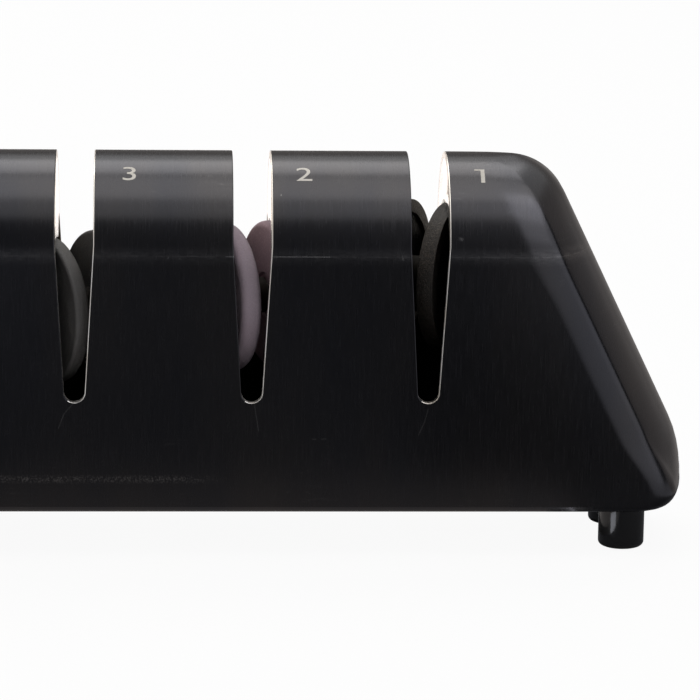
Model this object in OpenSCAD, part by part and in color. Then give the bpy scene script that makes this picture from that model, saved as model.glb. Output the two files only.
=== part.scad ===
// Retractable three-stage knife sharpener.
// The metal-clad head slides out of a sleeve that serves as the handle. Each of the three
// stages has a pair of grinding wheels on an axle that is skewed to the slot, so the rims
// of the two wheels cross and leave a V for the blade.
// Origin: centre of the base pad's underside. +X runs to the head's free end, +Z is up.

/* [Head] */
// Depth of the head from front to back
head_depth = 26; // [25.5:0.5:30]
// Height of the head from its underside to the crown
head_height = 49; // [48:0.5:56]
// Length of head in front of the sleeve when it is drawn out
head_reach = 99.6; // [98:0.2:112]
// Wall of the head's metal shell
head_wall = 0.9; // [0.7:0.1:1.2]
// Width of the lip that the shell turns in under the base
lip_width = 1.2; // [0.8:0.1:1.6]
// Radius of the long bottom edges of the shell
bottom_edge = 1; // [0.6:0.1:1.4]
// Thickness of the base plate inside the shell
base_thickness = 2.5; // [2.3:0.1:3.2]

/* [Sloped end] */
// Lean of the sloped end from upright, in degrees
nose_lean = 24; // [20:1:26]
// Radius that blends the crown into the sloped end
crown_blend = 9; // [7:0.5:11]
// Radius that blends the sloped end into the toe
toe_blend = 18; // [12:1:20]
// Radius of the toe's bottom edge
toe_edge = 3; // [2:0.25:3.5]
// Height at which the sloped end would meet an upright toe
toe_height = 7.3; // [7:0.1:9]
// Radius of the end's bulge, seen from above
bulge_radius = 37; // [30:1:50]
// Radius of the upright corners below the arch
corner_radius = 4.5; // [3.5:0.25:5.5]

/* [Slots] */
// Width of a blade slot through the arch
slot_top_width = 5.3; // [4.8:0.1:6]
// Width of a blade slot at its round bottom
slot_bottom_width = 2.9; // [2.4:0.1:3.4]
// Height above the head's underside at which a slot starts to taper
slot_taper_start = 38; // [37:0.25:39]
// Height of a slot's bottom above the head's underside
slot_floor = 15.9; // [14:0.1:17]
// Distance from one slot to the next
slot_pitch = 24.6; // [24.4:0.1:27]
// Distance from the tip back to the first slot
first_slot_inset = 37; // [35:0.1:38]

/* [Wheels] */
// Radius of the grinding wheels
wheel_radius = 10.4; // [9.8:0.1:10.5]
// Radius of the axles
axle_radius = 1.5; // [1.2:0.1:1.8]
// Radial play of a wheel on its axle
wheel_play = 0.05; // [0.03:0.01:0.08]
// Gap between a wheel and what keeps it in place along the axle
wheel_side_gap = 0.15; // [0.1:0.05:0.3]
// Outer radius of the tube between two wheels
spacer_radius = 2.5; // [2.3:0.1:3]
// Skew of stage 1's axle in degrees, negative with the right wheel in front
stage_1_skew = -24; // [-25:1:-20]
// Thickness of stage 1's diamond-coated wheels
stage_1_thickness = 2.4; // [2:0.1:2.8]
// Height of stage 1's axle above the head's underside
stage_1_axle = 31.6; // [30:0.1:32.5]
// Crossing of stage 1's rims past the middle of the slot
stage_1_cross = 1.85; // [1.5:0.05:2.2]
// Skew of stage 2's axle in degrees
stage_2_skew = 20; // [17:1:22]
// Thickness of stage 2's coarse ceramic wheels
stage_2_thickness = 3; // [2.6:0.1:3.2]
// Height of stage 2's axle above the head's underside
stage_2_axle = 28.4; // [27:0.1:30]
// Crossing of stage 2's rims past the middle of the slot
stage_2_cross = 1.6; // [1.3:0.05:1.9]
// Skew of stage 3's axle in degrees
stage_3_skew = 30; // [26:1:31]
// Thickness of stage 3's fine ceramic wheels
stage_3_thickness = 2.2; // [1.8:0.1:2.3]
// Height of stage 3's axle above the head's underside
stage_3_axle = 26.8; // [26:0.1:28.5]
// Crossing of stage 3's rims past the middle of the slot
stage_3_cross = 2.3; // [2.25:0.05:2.8]
// Radial width of the diamond band on stage 1's wheels
band_width = 1.8; // [1.4:0.1:2.4]
// Depth of the recessed face inside the diamond band
face_recess = 0.4; // [0.2:0.1:0.6]

/* [Wheel cartridges] */
// Thickness of a cartridge's two cheeks
cheek_thickness = 1.2; // [1:0.1:1.6]
// Thickness of a cartridge's floor
cartridge_floor = 1.6; // [1.4:0.1:2.2]
// Gap between neighbouring cartridges
cartridge_gap = 0.4; // [0.3:0.1:0.8]
// Gap between a cartridge and the shell's side walls
cartridge_side_gap = 0.4; // [0.2:0.1:0.6]
// Radius of the bosses that carry an axle
boss_radius = 2.6; // [2.4:0.1:3]
// Height of a cheek above its axle
cheek_rise = 4.6; // [4:0.1:5]

/* [Sleeve] */
// Wall of the sleeve
sleeve_wall = 3.2; // [2.6:0.1:4]
// Running gap between head and sleeve
slide_gap = 0.3; // [0.2:0.05:0.4]
// Thickness of the plate that closes the sleeve's back end
cap_thickness = 3; // [2.6:0.1:4]
// Length of the cap's plug inside the sleeve
cap_plug = 2.2; // [1.6:0.1:3]
// Free length behind the head when it is pushed in
parked_gap = 0.8; // [0.5:0.1:2]
// Radius of the sleeve's two bottom edges
sleeve_edge = 1.2; // [0.6:0.1:1.6]
// Radius of the cap's outer edge
cap_edge = 2.4; // [1.5:0.1:2.5]
// Number of grip grooves on each side
groove_count = 5; // [3:1:6]
// Distance from one grip groove to the next
groove_pitch = 4.5; // [3.5:0.5:5]
// Radius of a grip groove
groove_radius = 1; // [0.8:0.1:1.2]
// Depth of a grip groove
groove_depth = 0.5; // [0.3:0.1:0.6]
// Length of the grip grooves
groove_length = 74; // [60:1:90]

/* [Base pad] */
// Thickness of the rubber pad
pad_thickness = 1.6; // [1.2:0.1:2]
// Depth of the recess that holds the pad
pad_recess = 0.8; // [0.6:0.1:1]
// Width of the sleeve's rim round the pad
pad_rim = 3; // [2.5:0.1:5]
// Corner radius of the pad
pad_corner = 3; // [2:0.5:5]

/* [Feet] */
// Radius of the two feet under the head's free end
foot_radius = 3.25; // [2.8:0.05:3.3]
// Height of the feet
foot_height = 6.3; // [6:0.1:7]
// Distance from the tip back to the feet
foot_inset = 8.7; // [8.5:0.1:10]
// Distance of a foot from the head's mid-plane
foot_offset = 6.5; // [6:0.1:6.6]
// Radius of a foot's bottom edge
foot_edge = 0.7; // [0.4:0.1:1]
// Radius of the stud that fixes a foot
stud_radius = 2; // [1.5:0.1:2.4]

/* [Lock] */
// Distance from the sleeve's mouth back to the lock button
button_inset = 18.4; // [18:0.1:20]
// Radius of the button's cap
button_radius = 4.2; // [3.8:0.1:4.4]
// Stroke of the button
button_stroke = 2; // [1.8:0.1:2.1]
// Height of the button's cap above its collar
button_rise = 2; // [2:0.1:3]
// Radius of the button's flange
flange_radius = 5.3; // [5:0.1:5.35]
// Thickness of the button's flange
flange_thickness = 1; // [0.8:0.1:1.3]
// Radius of the stem that locks the head
stem_radius = 1.8; // [1.6:0.1:1.9]
// Radial play of the stem in its bore
stem_play = 0.08; // [0.05:0.01:0.1]
// Gap between the stem and the head's crown when the button is up
stem_clear = 0.6; // [0.5:0.1:0.8]
// Radius of the pocket that takes the stem
pocket_radius = 2.4; // [2.2:0.1:2.6]
// Radius of the turret round the button
turret_radius = 7.6; // [7.2:0.1:8.5]
// Radius of the well for button and spring
well_radius = 5.6; // [5.5:0.1:6]
// Height of the space for the spring
spring_height = 3.5; // [3.4:0.1:4.5]
// Thickness of the collar that keeps the button in
collar_thickness = 2; // [1.5:0.1:2.5]
// Length of head behind the lock button
tail_behind_button = 5.6; // [5:0.1:7]
// Length of the tail block
tail_block_length = 12; // [11:0.5:14]
// Wall of the tail block
tail_block_wall = 2.5; // [2.2:0.1:3]
// Distance from the sleeve's mouth back to the stop pin
stop_inset = 6; // [5:0.1:8]
// Radius of the stop pin
stop_radius = 1.2; // [1:0.1:1.3]
// Depth of the guide groove under the head's base plate
guide_depth = 1.6; // [1.4:0.1:1.8]

/* [Screws] */
// Radius of a screw's head
screw_head_radius = 1.7; // [1.5:0.1:1.9]
// Height of a screw's head
screw_head_height = 0.9; // [0.7:0.1:1]
// Radius of a screw's shank
screw_shank_radius = 0.9; // [0.7:0.1:1.1]
// Distance of the screws from the head's mid-plane
screw_offset = 6; // [5.5:0.1:6.5]

/* [Hidden] */
$fn = 64;

// Small clearances of pieces that are fixed to each other
fit_gap = 0.1;
bore_fit = 0.02;
cut = 1;

// Head section
arch_radius = head_depth / 2;
springing = head_height - arch_radius;
base_top = head_wall + base_thickness;

// Places along X
button_to_slot = head_reach - first_slot_inset + button_inset;
travel = button_to_slot;
sleeve_length = button_inset + tail_behind_button + travel + parked_gap + cap_plug + cap_thickness;
mouth_x = sleeve_length / 2;
button_x = mouth_x - button_inset;
tail_x = button_x - tail_behind_button;
tip_x = mouth_x + head_reach;
foot_x = tip_x - foot_inset;
stop_x = mouth_x - stop_inset;
function slot_x(n) = tip_x - first_slot_inset - (n - 1) * slot_pitch;

// Sloped end: where its arcs start
toe_low = toe_height - toe_blend * tan(nose_lean / 2);
crown_low = head_height - crown_blend;
crown_x = -(head_height - toe_height) * tan(nose_lean) - crown_blend * tan((90 - nose_lean) / 2);
corner_low = springing - 4;
corner_high = head_height - 3;
corner_share = 0.92;

// Steps of the head's loft
edge_steps = 6;
wall_steps = 14;
arch_steps = 9;
arch_end = 88.5;
corner_steps = 7;
bulge_steps = 6;

// Sleeve section, as heights above the table
sleeve_radius = arch_radius + slide_gap + sleeve_wall;
sleeve_spring = foot_height + springing;
sleeve_bottom = pad_thickness - pad_recess;
sleeve_floor = foot_height - slide_gap;

// Lock, as heights above the table
crown_z = foot_height + head_height;
stem_end = crown_z + stem_clear;
well_floor = crown_z + slide_gap + 2;
flange_z = well_floor + spring_height;
collar_z = flange_z + flange_thickness + fit_gap;
turret_top = collar_z + collar_thickness;
button_top = turret_top + button_rise;
button_edge = 0.8;
collar_play = 0.1;
pocket_floor = stem_end - button_stroke - 0.4;

// Lock spring
spring_wire = 0.4;
spring_radius = 3.4;
spring_turns = 2.5;
spring_sides = 6;
turn_steps = 12;

// Wheel pairs, by stage
function skew(n) = [stage_1_skew, stage_2_skew, stage_3_skew][n - 1];
function thickness(n) = [stage_1_thickness, stage_2_thickness, stage_3_thickness][n - 1];
function axle_height(n) = [stage_1_axle, stage_2_axle, stage_3_axle][n - 1];
function cross(n) = [stage_1_cross, stage_2_cross, stage_3_cross][n - 1];
function rim_edge(n) = [0.3, 1, 0.5][n - 1];

// Distance of a wheel's middle from the slot's middle, along the axle
function wheel_offset(n) =
    (wheel_radius * sin(abs(skew(n))) - cross(n)) / cos(skew(n)) + thickness(n) / 2;

// Cartridge: half its length and half its width
cartridge_half_length = (slot_pitch - cartridge_gap) / 2;
cartridge_half_width = arch_radius - head_wall - cartridge_side_gap;
cheek_top_half_width = 5;
shoulder_drop = 6;
axle_end_gap = 0.2;

// A value between 0 and 1 that rises smoothly
function smooth(u) = let(c = min(1, max(0, u))) c * c * (3 - 2 * c);

// Reach of the sloped end at height z, measured from the tip, on a surface inset by t
function nose(z, t) =
    z < toe_edge
        ? -toe_edge + sqrt(max(0, pow(toe_edge - t, 2) - pow(toe_edge - z, 2)))
    : z < toe_low
        ? -t
    : z < toe_low + (toe_blend - t) * sin(nose_lean)
        ? -toe_blend + sqrt(pow(toe_blend - t, 2) - pow(z - toe_low, 2))
    : z < crown_low + (crown_blend - t) * sin(nose_lean)
        ? -(z - toe_height) * tan(nose_lean) - t / cos(nose_lean)
    : crown_x + sqrt(max(0, pow(crown_blend - t, 2) - pow(z - crown_low, 2)));

// Half the head's depth at height z, on a surface inset by t
function half_depth(z, t) =
    z > springing
        ? sqrt(max(0, pow(arch_radius - t, 2) - pow(z - springing, 2)))
    : z < bottom_edge && t < bottom_edge
        ? arch_radius - bottom_edge + sqrt(max(0, pow(bottom_edge - t, 2) - pow(bottom_edge - z, 2)))
    : arch_radius - t;

// Radius of the upright corner at height z: it grows until the arch runs round the end
function corner(z, t) =
    let(grown = smooth((z - corner_low) / (corner_high - corner_low)))
    min(corner_share * half_depth(z, t), corner_radius + (arch_radius - corner_radius) * grown - t);

// Outline of the head from above at height z, from the tail round the end and back
function plan(z, t, tail) =
    let(
        half = half_depth(z, t),
        r = corner(z, t),
        bulge = bulge_radius - t,
        bulge_x = tip_x + nose(z, t) - bulge,
        corner_y = half - r,
        corner_x = bulge_x + sqrt(pow(bulge - r, 2) - pow(corner_y, 2)),
        turn = asin(corner_y / (bulge - r)),
        quarter = concat(
            [for (i = [0 : corner_steps])
                let(a = 90 - (90 - turn) * i / corner_steps)
                [corner_x + r * cos(a), corner_y + r * sin(a)]],
            [for (i = [1 : bulge_steps])
                let(a = turn * (1 - i / bulge_steps))
                [bulge_x + bulge * cos(a), bulge * sin(a)]]
        ),
        last = len(quarter) - 1
    )
    concat(
        [[tail, half]],
        quarter,
        [for (i = [last - 1 : -1 : 0]) [quarter[i][0], -quarter[i][1]]],
        [[tail, -half]]
    );

// Heights of the loft's outlines, close together at the bottom edge and over the arch
function levels(low, t) = concat(
    [for (i = [0 : edge_steps]) low + (toe_edge - low) * (1 - cos(90 * i / edge_steps))],
    [for (i = [1 : wall_steps]) toe_edge + (springing - toe_edge) * i / wall_steps],
    [for (i = [1 : arch_steps]) springing + (arch_radius - t) * sin(arch_end * i / arch_steps)]
);

// Skin over a stack of rings, each clockwise when seen from the stack's end
module skin(rings) {
    count = len(rings[0]);
    last = len(rings) - 1;
    polyhedron(
        points = [for (ring = rings) each ring],
        faces = concat(
            [[for (j = [count - 1 : -1 : 0]) j]],
            [[for (j = [0 : count - 1]) last * count + j]],
            [for (i = [0 : last - 1], j = [0 : count - 1])
                let(k = (j + 1) % count)
                each [
                    [i * count + j, i * count + k, (i + 1) * count + k],
                    [i * count + j, (i + 1) * count + k, (i + 1) * count + j]
                ]]
        )
    );
}

// Loft of the head's form, inset by t, from height low up to the crown
module head_form(t, low, tail) {
    skin([for (z = levels(low, t)) [for (p = plan(z, t, tail)) [p[0], p[1], z]]]);
}

// Arch section in the YZ plane, drawn out along X
module arch_bar(length, radius, low, spring, edge = 0) {
    rotate([90, 0, 90])
    linear_extrude(length) {
        translate([0, spring]) circle(radius);
        translate([-radius, low + edge]) square([2 * radius, spring - low - edge]);
        if (edge > 0) {
            translate([edge - radius, low]) square([2 * (radius - edge), edge + cut]);
            for (side = [-1, 1])
                translate([side * (radius - edge), low + edge]) circle(edge);
        }
    }
}

// Blade slot: straight through the arch, then tapered to a round bottom
module slot_cut() {
    end_radius = slot_bottom_width / 2;
    end_z = slot_floor + end_radius;
    half = slot_top_width / 2;
    drop = slot_taper_start - end_z;
    tilt = atan(half / drop) - asin(end_radius / norm([half, drop]));
    touch = [end_radius * cos(tilt), end_z - end_radius * sin(tilt)];
    top = head_height + cut;
    rotate([90, 0, 0])
    linear_extrude(head_depth + 2 * cut, center = true) {
        translate([0, end_z]) circle(end_radius);
        polygon([
            [-half, top], [-half, slot_taper_start], [-touch[0], touch[1]],
            [touch[0], touch[1]], [half, slot_taper_start], [half, top]
        ]);
    }
}

// Puts a piece on the axle of stage n, with its own Z along the axle
module on_axle(n) {
    translate([slot_x(n), 0, foot_height + axle_height(n)])
    rotate([0, 0, skew(n)])
    rotate([0, 90, 0])
    children();
}

// Places of the screws that hold one cartridge or the tail block
module screw_pair(x) {
    for (side = [-1, 1])
        translate([x, side * screw_offset, foot_height + head_wall])
        children();
}

// Screw from below, its head sunk in the base plate
module screw() {
    translate([0, 0, fit_gap]) cylinder(r = screw_head_radius, h = screw_head_height);
    translate([0, 0, fit_gap]) cylinder(r = screw_shank_radius, h = base_thickness + cartridge_floor - 0.4);
}

// Room for one screw and its head
module screw_hole() {
    translate([0, 0, -cut]) cylinder(r = screw_head_radius + fit_gap, h = screw_head_height + fit_gap + cut);
    cylinder(r = screw_shank_radius + bore_fit, h = base_thickness + cartridge_floor - 0.2);
}

module head_shell() {
    color("#26272a")
    translate([0, 0, foot_height])
    difference() {
        head_form(0, 0, tail_x);
        head_form(head_wall, head_wall, tail_x - cut);
        translate([head_wall - toe_edge, 0, -cut])
        linear_extrude(head_wall + 2 * cut)
        polygon(plan(toe_edge, head_wall + lip_width, tail_x - cut));
        for (n = [1 : 3])
            translate([slot_x(n), 0, 0]) slot_cut();
        translate([button_x, 0, springing]) cylinder(r = pocket_radius, h = head_height);
    }
}

module head_base() {
    guide_half_width = stop_radius + 0.15;
    color("#1a1b1d")
    difference() {
        union() {
            translate([0, 0, foot_height + head_wall])
            linear_extrude(base_thickness)
            polygon(plan(head_wall, head_wall + fit_gap, tail_x));
            for (side = [-1, 1])
                translate([foot_x, side * foot_offset, foot_height])
                cylinder(r = foot_radius, h = head_wall + cut);
        }
        for (side = [-1, 1])
            translate([foot_x, side * foot_offset, foot_height - cut])
            cylinder(r = stud_radius + bore_fit, h = base_top + 2 * cut);
        translate([stop_x - guide_half_width, -guide_half_width, foot_height - cut])
        cube([travel + 2 * guide_half_width, 2 * guide_half_width, head_wall + guide_depth + cut]);
        for (n = [1 : 3])
            screw_pair(slot_x(n)) screw_hole();
        screw_pair(tail_x + tail_block_length / 2) screw_hole();
    }
}

module tail_block() {
    radius = arch_radius - head_wall - fit_gap;
    low = foot_height + base_top;
    color("#1f2023")
    difference() {
        translate([tail_x, 0, 0]) arch_bar(tail_block_length, radius, low, sleeve_spring);
        translate([tail_x + tail_block_wall, 0, 0])
        arch_bar(tail_block_length, radius - tail_block_wall, low + tail_block_wall, sleeve_spring);
        translate([button_x, 0, pocket_floor]) cylinder(r = pocket_radius, h = crown_z);
        screw_pair(tail_x + tail_block_length / 2) screw_hole();
    }
}

// Foot with a round bottom edge and a stud into the base plate
module foot(side) {
    color("#141416")
    translate([foot_x, side * foot_offset, 0]) {
        rotate_extrude()
        polygon(concat(
            [[0, 0]],
            [for (a = [-90 : 15 : 0]) [foot_radius - foot_edge + foot_edge * cos(a), foot_edge + foot_edge * sin(a)]],
            [[foot_radius, foot_height], [0, foot_height]]
        ));
        translate([0, 0, foot_height - foot_edge]) cylinder(r = stud_radius, h = foot_edge + base_top - fit_gap);
    }
}

// Carrier of one wheel pair: floor, two cheeks and the bosses along the skewed axle
module cartridge(n) {
    low = foot_height + base_top;
    top = axle_height(n) + cheek_rise - base_top;
    shoulder = axle_height(n) - shoulder_drop - base_top;
    boss_start = wheel_offset(n) + thickness(n) / 2 + wheel_side_gap;
    color("#2b2c30")
    difference() {
        union() {
            translate([slot_x(n) - cartridge_half_length, -cartridge_half_width, low])
            cube([2 * cartridge_half_length, 2 * cartridge_half_width, cartridge_floor]);
            for (x = [-cartridge_half_length, cartridge_half_length - cheek_thickness])
                translate([slot_x(n) + x, 0, low])
                rotate([90, 0, 90])
                linear_extrude(cheek_thickness)
                polygon([
                    [-cartridge_half_width, 0], [-cartridge_half_width, shoulder],
                    [-cheek_top_half_width, top], [cheek_top_half_width, top],
                    [cartridge_half_width, shoulder], [cartridge_half_width, 0]
                ]);
            intersection() {
                on_axle(n)
                for (side = [0, 180])
                    rotate([side, 0, 0])
                    translate([0, 0, boss_start])
                    cylinder(r = boss_radius, h = cartridge_half_length);
                translate([slot_x(n) - cartridge_half_length, -cartridge_half_width, low])
                cube([2 * cartridge_half_length, 2 * cartridge_half_width, top]);
            }
        }
        on_axle(n) cylinder(r = axle_radius + bore_fit, h = 4 * cartridge_half_length, center = true);
        screw_pair(slot_x(n)) screw_hole();
    }
}

module axle(n) {
    half = (cartridge_half_length - axle_end_gap - axle_radius * sin(abs(skew(n)))) / cos(skew(n));
    color("#b9bcc0")
    on_axle(n) cylinder(r = axle_radius, h = 2 * half, center = true);
}

// Section of a wheel: a round-edged rim, and a recessed face where recess is above 0
module wheel_section(thick, edge, recess) {
    half = thick / 2;
    bore = axle_radius + wheel_play;
    band = wheel_radius - band_width;
    hub = boss_radius + recess;
    rim = concat(
        [for (a = [-90 : 22.5 : 0]) [wheel_radius - edge + edge * cos(a), edge - half + edge * sin(a)]],
        [for (a = [0 : 22.5 : 90]) [wheel_radius - edge + edge * cos(a), half - edge + edge * sin(a)]]
    );
    dish = recess > 0 ? [[band, half], [band, half - recess], [hub, half - recess], [hub, half]] : [];
    back = recess > 0 ? [[hub, -half], [hub, recess - half], [band, recess - half], [band, -half]] : [];
    polygon(concat([[bore, -half]], back, rim, dish, [[bore, half]]));
}

// Grinding wheel of stage n, side -1 on the left and 1 on the right
module wheel(n, side) {
    color(["#8a7a66", "#d9b3bd", "#55565a"][n - 1])
    on_axle(n)
    translate([0, 0, side * wheel_offset(n)])
    rotate_extrude()
    wheel_section(thickness(n), rim_edge(n), n == 1 ? face_recess : 0);
}

// Tube that keeps two wheels apart
module spacer(n) {
    length = 2 * wheel_offset(n) - thickness(n) - 2 * wheel_side_gap;
    color("#9a9ca0")
    on_axle(n)
    difference() {
        cylinder(r = spacer_radius, h = length, center = true);
        cylinder(r = axle_radius + bore_fit, h = length + cut, center = true);
    }
}

module cartridge_screws() {
    color("#8e9196")
    for (n = [1 : 3])
        screw_pair(slot_x(n)) screw();
}

module tail_screws() {
    color("#8e9196")
    screw_pair(tail_x + tail_block_length / 2) screw();
}

// Plate with round corners, lying on height z
module round_plate(half_x, half_y, radius, z, height) {
    translate([radius - half_x, -half_y, z]) cube([2 * (half_x - radius), 2 * half_y, height]);
    translate([-half_x, radius - half_y, z]) cube([2 * half_x, 2 * (half_y - radius), height]);
    for (x = [-1, 1], y = [-1, 1])
        translate([x * (half_x - radius), y * (half_y - radius), z])
        cylinder(r = radius, h = height);
}

module sleeve_shell() {
    bore_radius = arch_radius + slide_gap;
    groove_y = sleeve_radius + groove_radius - groove_depth;
    groove_mid_z = (sleeve_bottom + sleeve_spring) / 2;
    color("#1c1d1f")
    difference() {
        union() {
            translate([cap_thickness - mouth_x, 0, 0])
            arch_bar(sleeve_length - cap_thickness, sleeve_radius, sleeve_bottom, sleeve_spring, sleeve_edge);
            translate([button_x, 0, sleeve_spring])
            cylinder(r = turret_radius, h = turret_top - sleeve_spring);
        }
        translate([-mouth_x, 0, 0]) arch_bar(sleeve_length + cut, bore_radius, sleeve_floor, sleeve_spring);
        translate([button_x, 0, well_floor]) cylinder(r = well_radius, h = turret_top);
        translate([button_x, 0, sleeve_spring]) cylinder(r = stem_radius + stem_play, h = turret_top);
        round_plate(mouth_x - pad_rim, sleeve_radius - pad_rim, pad_corner, sleeve_bottom - cut, pad_recess + cut);
        translate([stop_x, 0, 0]) cylinder(r = stop_radius + bore_fit, h = sleeve_spring);
        for (side = [-1, 1], i = [0 : groove_count - 1])
            translate([0, side * groove_y, groove_mid_z + (i - (groove_count - 1) / 2) * groove_pitch])
            rotate([0, 90, 0])
            cylinder(r = groove_radius, h = groove_length, center = true);
    }
}

module sleeve_cap() {
    arc_steps = 24;
    round_steps = 5;
    bore_radius = arch_radius + slide_gap;
    rings = [for (i = [-1 : round_steps])
        let(
            a = 90 * max(0, i) / round_steps,
            inset = cap_edge * (1 - cos(a)),
            radius = sleeve_radius - inset,
            x = i < 0 ? 0 : cap_edge - cap_thickness - cap_edge * sin(a)
        )
        concat(
            [[x, radius, sleeve_bottom + inset]],
            [for (j = [0 : arc_steps])
                let(b = 180 * j / arc_steps)
                [x, radius * cos(b), sleeve_spring + radius * sin(b)]],
            [[x, -radius, sleeve_bottom + inset]]
        )];
    color("#1c1d1f") {
        translate([cap_thickness - mouth_x, 0, 0]) skin(rings);
        translate([cap_thickness - mouth_x - fit_gap, 0, 0])
        arch_bar(cap_plug + fit_gap, bore_radius - fit_gap, sleeve_floor + fit_gap, sleeve_spring);
    }
}

module base_pad() {
    color("#101012")
    round_plate(
        mouth_x - pad_rim - fit_gap, sleeve_radius - pad_rim - fit_gap, pad_corner - fit_gap, 0, pad_thickness
    );
}

module stop_pin() {
    color("#a9acb0")
    translate([stop_x, 0, pad_thickness])
    cylinder(r = stop_radius, h = foot_height + head_wall + guide_depth - 0.3 - pad_thickness);
}

module lock_button() {
    color("#303135")
    translate([button_x, 0, 0]) {
        translate([0, 0, stem_end]) cylinder(r = stem_radius, h = flange_z - stem_end + cut / 2);
        translate([0, 0, flange_z]) cylinder(r = flange_radius, h = flange_thickness);
        rotate_extrude()
        polygon(concat(
            [[0, flange_z], [button_radius, flange_z]],
            [for (a = [0 : 15 : 90])
                [button_radius - button_edge + button_edge * cos(a), button_top - button_edge + button_edge * sin(a)]],
            [[0, button_top]]
        ));
    }
}

// Points along the middle of the spring's wire
function spring_path() =
    let(steps = spring_turns * turn_steps, rise = spring_height - spring_wire - fit_gap)
    [for (i = [0 : steps])
        let(a = 360 * i / turn_steps)
        [spring_radius * cos(a), spring_radius * sin(a), rise * i / steps]];

module lock_spring() {
    path = spring_path();
    wire = spring_wire / 2;
    gaps = [for (i = [0 : len(path) - 1], j = [i + turn_steps / 2 : 1 : len(path) - 1]) norm(path[j] - path[i])];
    echo(str("least gap between the spring's turns, mm: ", min(gaps) - spring_wire));
    color("#c4c7cb")
    translate([button_x, 0, well_floor + wire + fit_gap / 2])
    skin([for (i = [0 : len(path) - 1])
        let(a = 360 * i / turn_steps)
        [for (s = [0 : spring_sides - 1])
            let(b = 360 * s / spring_sides, r = spring_radius + wire * cos(b))
            [r * cos(a), r * sin(a), path[i][2] + wire * sin(b)]]]);
}

module button_collar() {
    color("#2a2b2e")
    translate([button_x, 0, collar_z])
    difference() {
        cylinder(r = well_radius - bore_fit, h = collar_thickness);
        translate([0, 0, -cut]) cylinder(r = button_radius + collar_play, h = collar_thickness + 2 * cut);
    }
}

head_shell();
head_base();
tail_block();
foot(-1);  // foot_front
foot(1);  // foot_rear
cartridge(1);  // cartridge_1
cartridge(2);  // cartridge_2
cartridge(3);  // cartridge_3
axle(1);  // axle_1
axle(2);  // axle_2
axle(3);  // axle_3
wheel(1, -1);  // wheel_1_left
wheel(1, 1);  // wheel_1_right
wheel(2, -1);  // wheel_2_left
wheel(2, 1);  // wheel_2_right
wheel(3, -1);  // wheel_3_left
wheel(3, 1);  // wheel_3_right
spacer(1);  // spacer_1
spacer(2);  // spacer_2
spacer(3);  // spacer_3
cartridge_screws();
tail_screws();
sleeve_shell();
sleeve_cap();
base_pad();
stop_pin();
lock_button();
lock_spring();
button_collar();
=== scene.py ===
import logging
import math
from contextlib import contextmanager
from dataclasses import dataclass
from enum import Enum
from typing import Callable, Iterator, Mapping, Sequence

import bmesh
import bpy
from mathutils import Matrix, Vector


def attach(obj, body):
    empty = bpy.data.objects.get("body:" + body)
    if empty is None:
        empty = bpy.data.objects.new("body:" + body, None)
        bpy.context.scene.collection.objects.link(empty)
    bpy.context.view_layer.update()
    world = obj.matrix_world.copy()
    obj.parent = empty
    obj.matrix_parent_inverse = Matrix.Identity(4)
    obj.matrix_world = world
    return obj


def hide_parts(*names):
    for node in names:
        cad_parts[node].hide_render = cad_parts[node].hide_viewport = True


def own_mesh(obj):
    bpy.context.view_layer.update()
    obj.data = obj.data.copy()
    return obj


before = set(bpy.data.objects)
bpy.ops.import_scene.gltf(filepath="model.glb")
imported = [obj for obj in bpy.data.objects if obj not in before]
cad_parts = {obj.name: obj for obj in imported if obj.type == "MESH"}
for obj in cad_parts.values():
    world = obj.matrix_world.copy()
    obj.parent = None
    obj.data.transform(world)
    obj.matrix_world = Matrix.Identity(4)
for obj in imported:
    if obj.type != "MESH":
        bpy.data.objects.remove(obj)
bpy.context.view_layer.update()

log = logging.getLogger("sharpener")

Point = tuple[float, float, float]
Colour = tuple[float, float, float]
Piece = bpy.types.Object
Socket = bpy.types.NodeSocket

MM = 0.001

# Millimetres: the head's underside above the worktop, and slots and lock button along X.
LIFT = 6.3
SLOT_XS = (118.1, 93.5, 68.9)
BUTTON_X = 37.1

STAGES = (1, 2, 3)
SIDES = ((-1, "left"), (1, "right"))
ENDS = ((-1, "front"), (1, "rear"))
MANY_SIDED = 20


class Part(Enum):
    """Kind of mesh element that a step works on."""

    VERTS = ("verts", "VERT")
    EDGES = ("edges", "EDGE")
    FACES = ("faces", "FACE")


class Cut(Enum):
    """How a tool body acts on a piece."""

    TAKE_AWAY = "DIFFERENCE"
    JOIN = "UNION"


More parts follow.
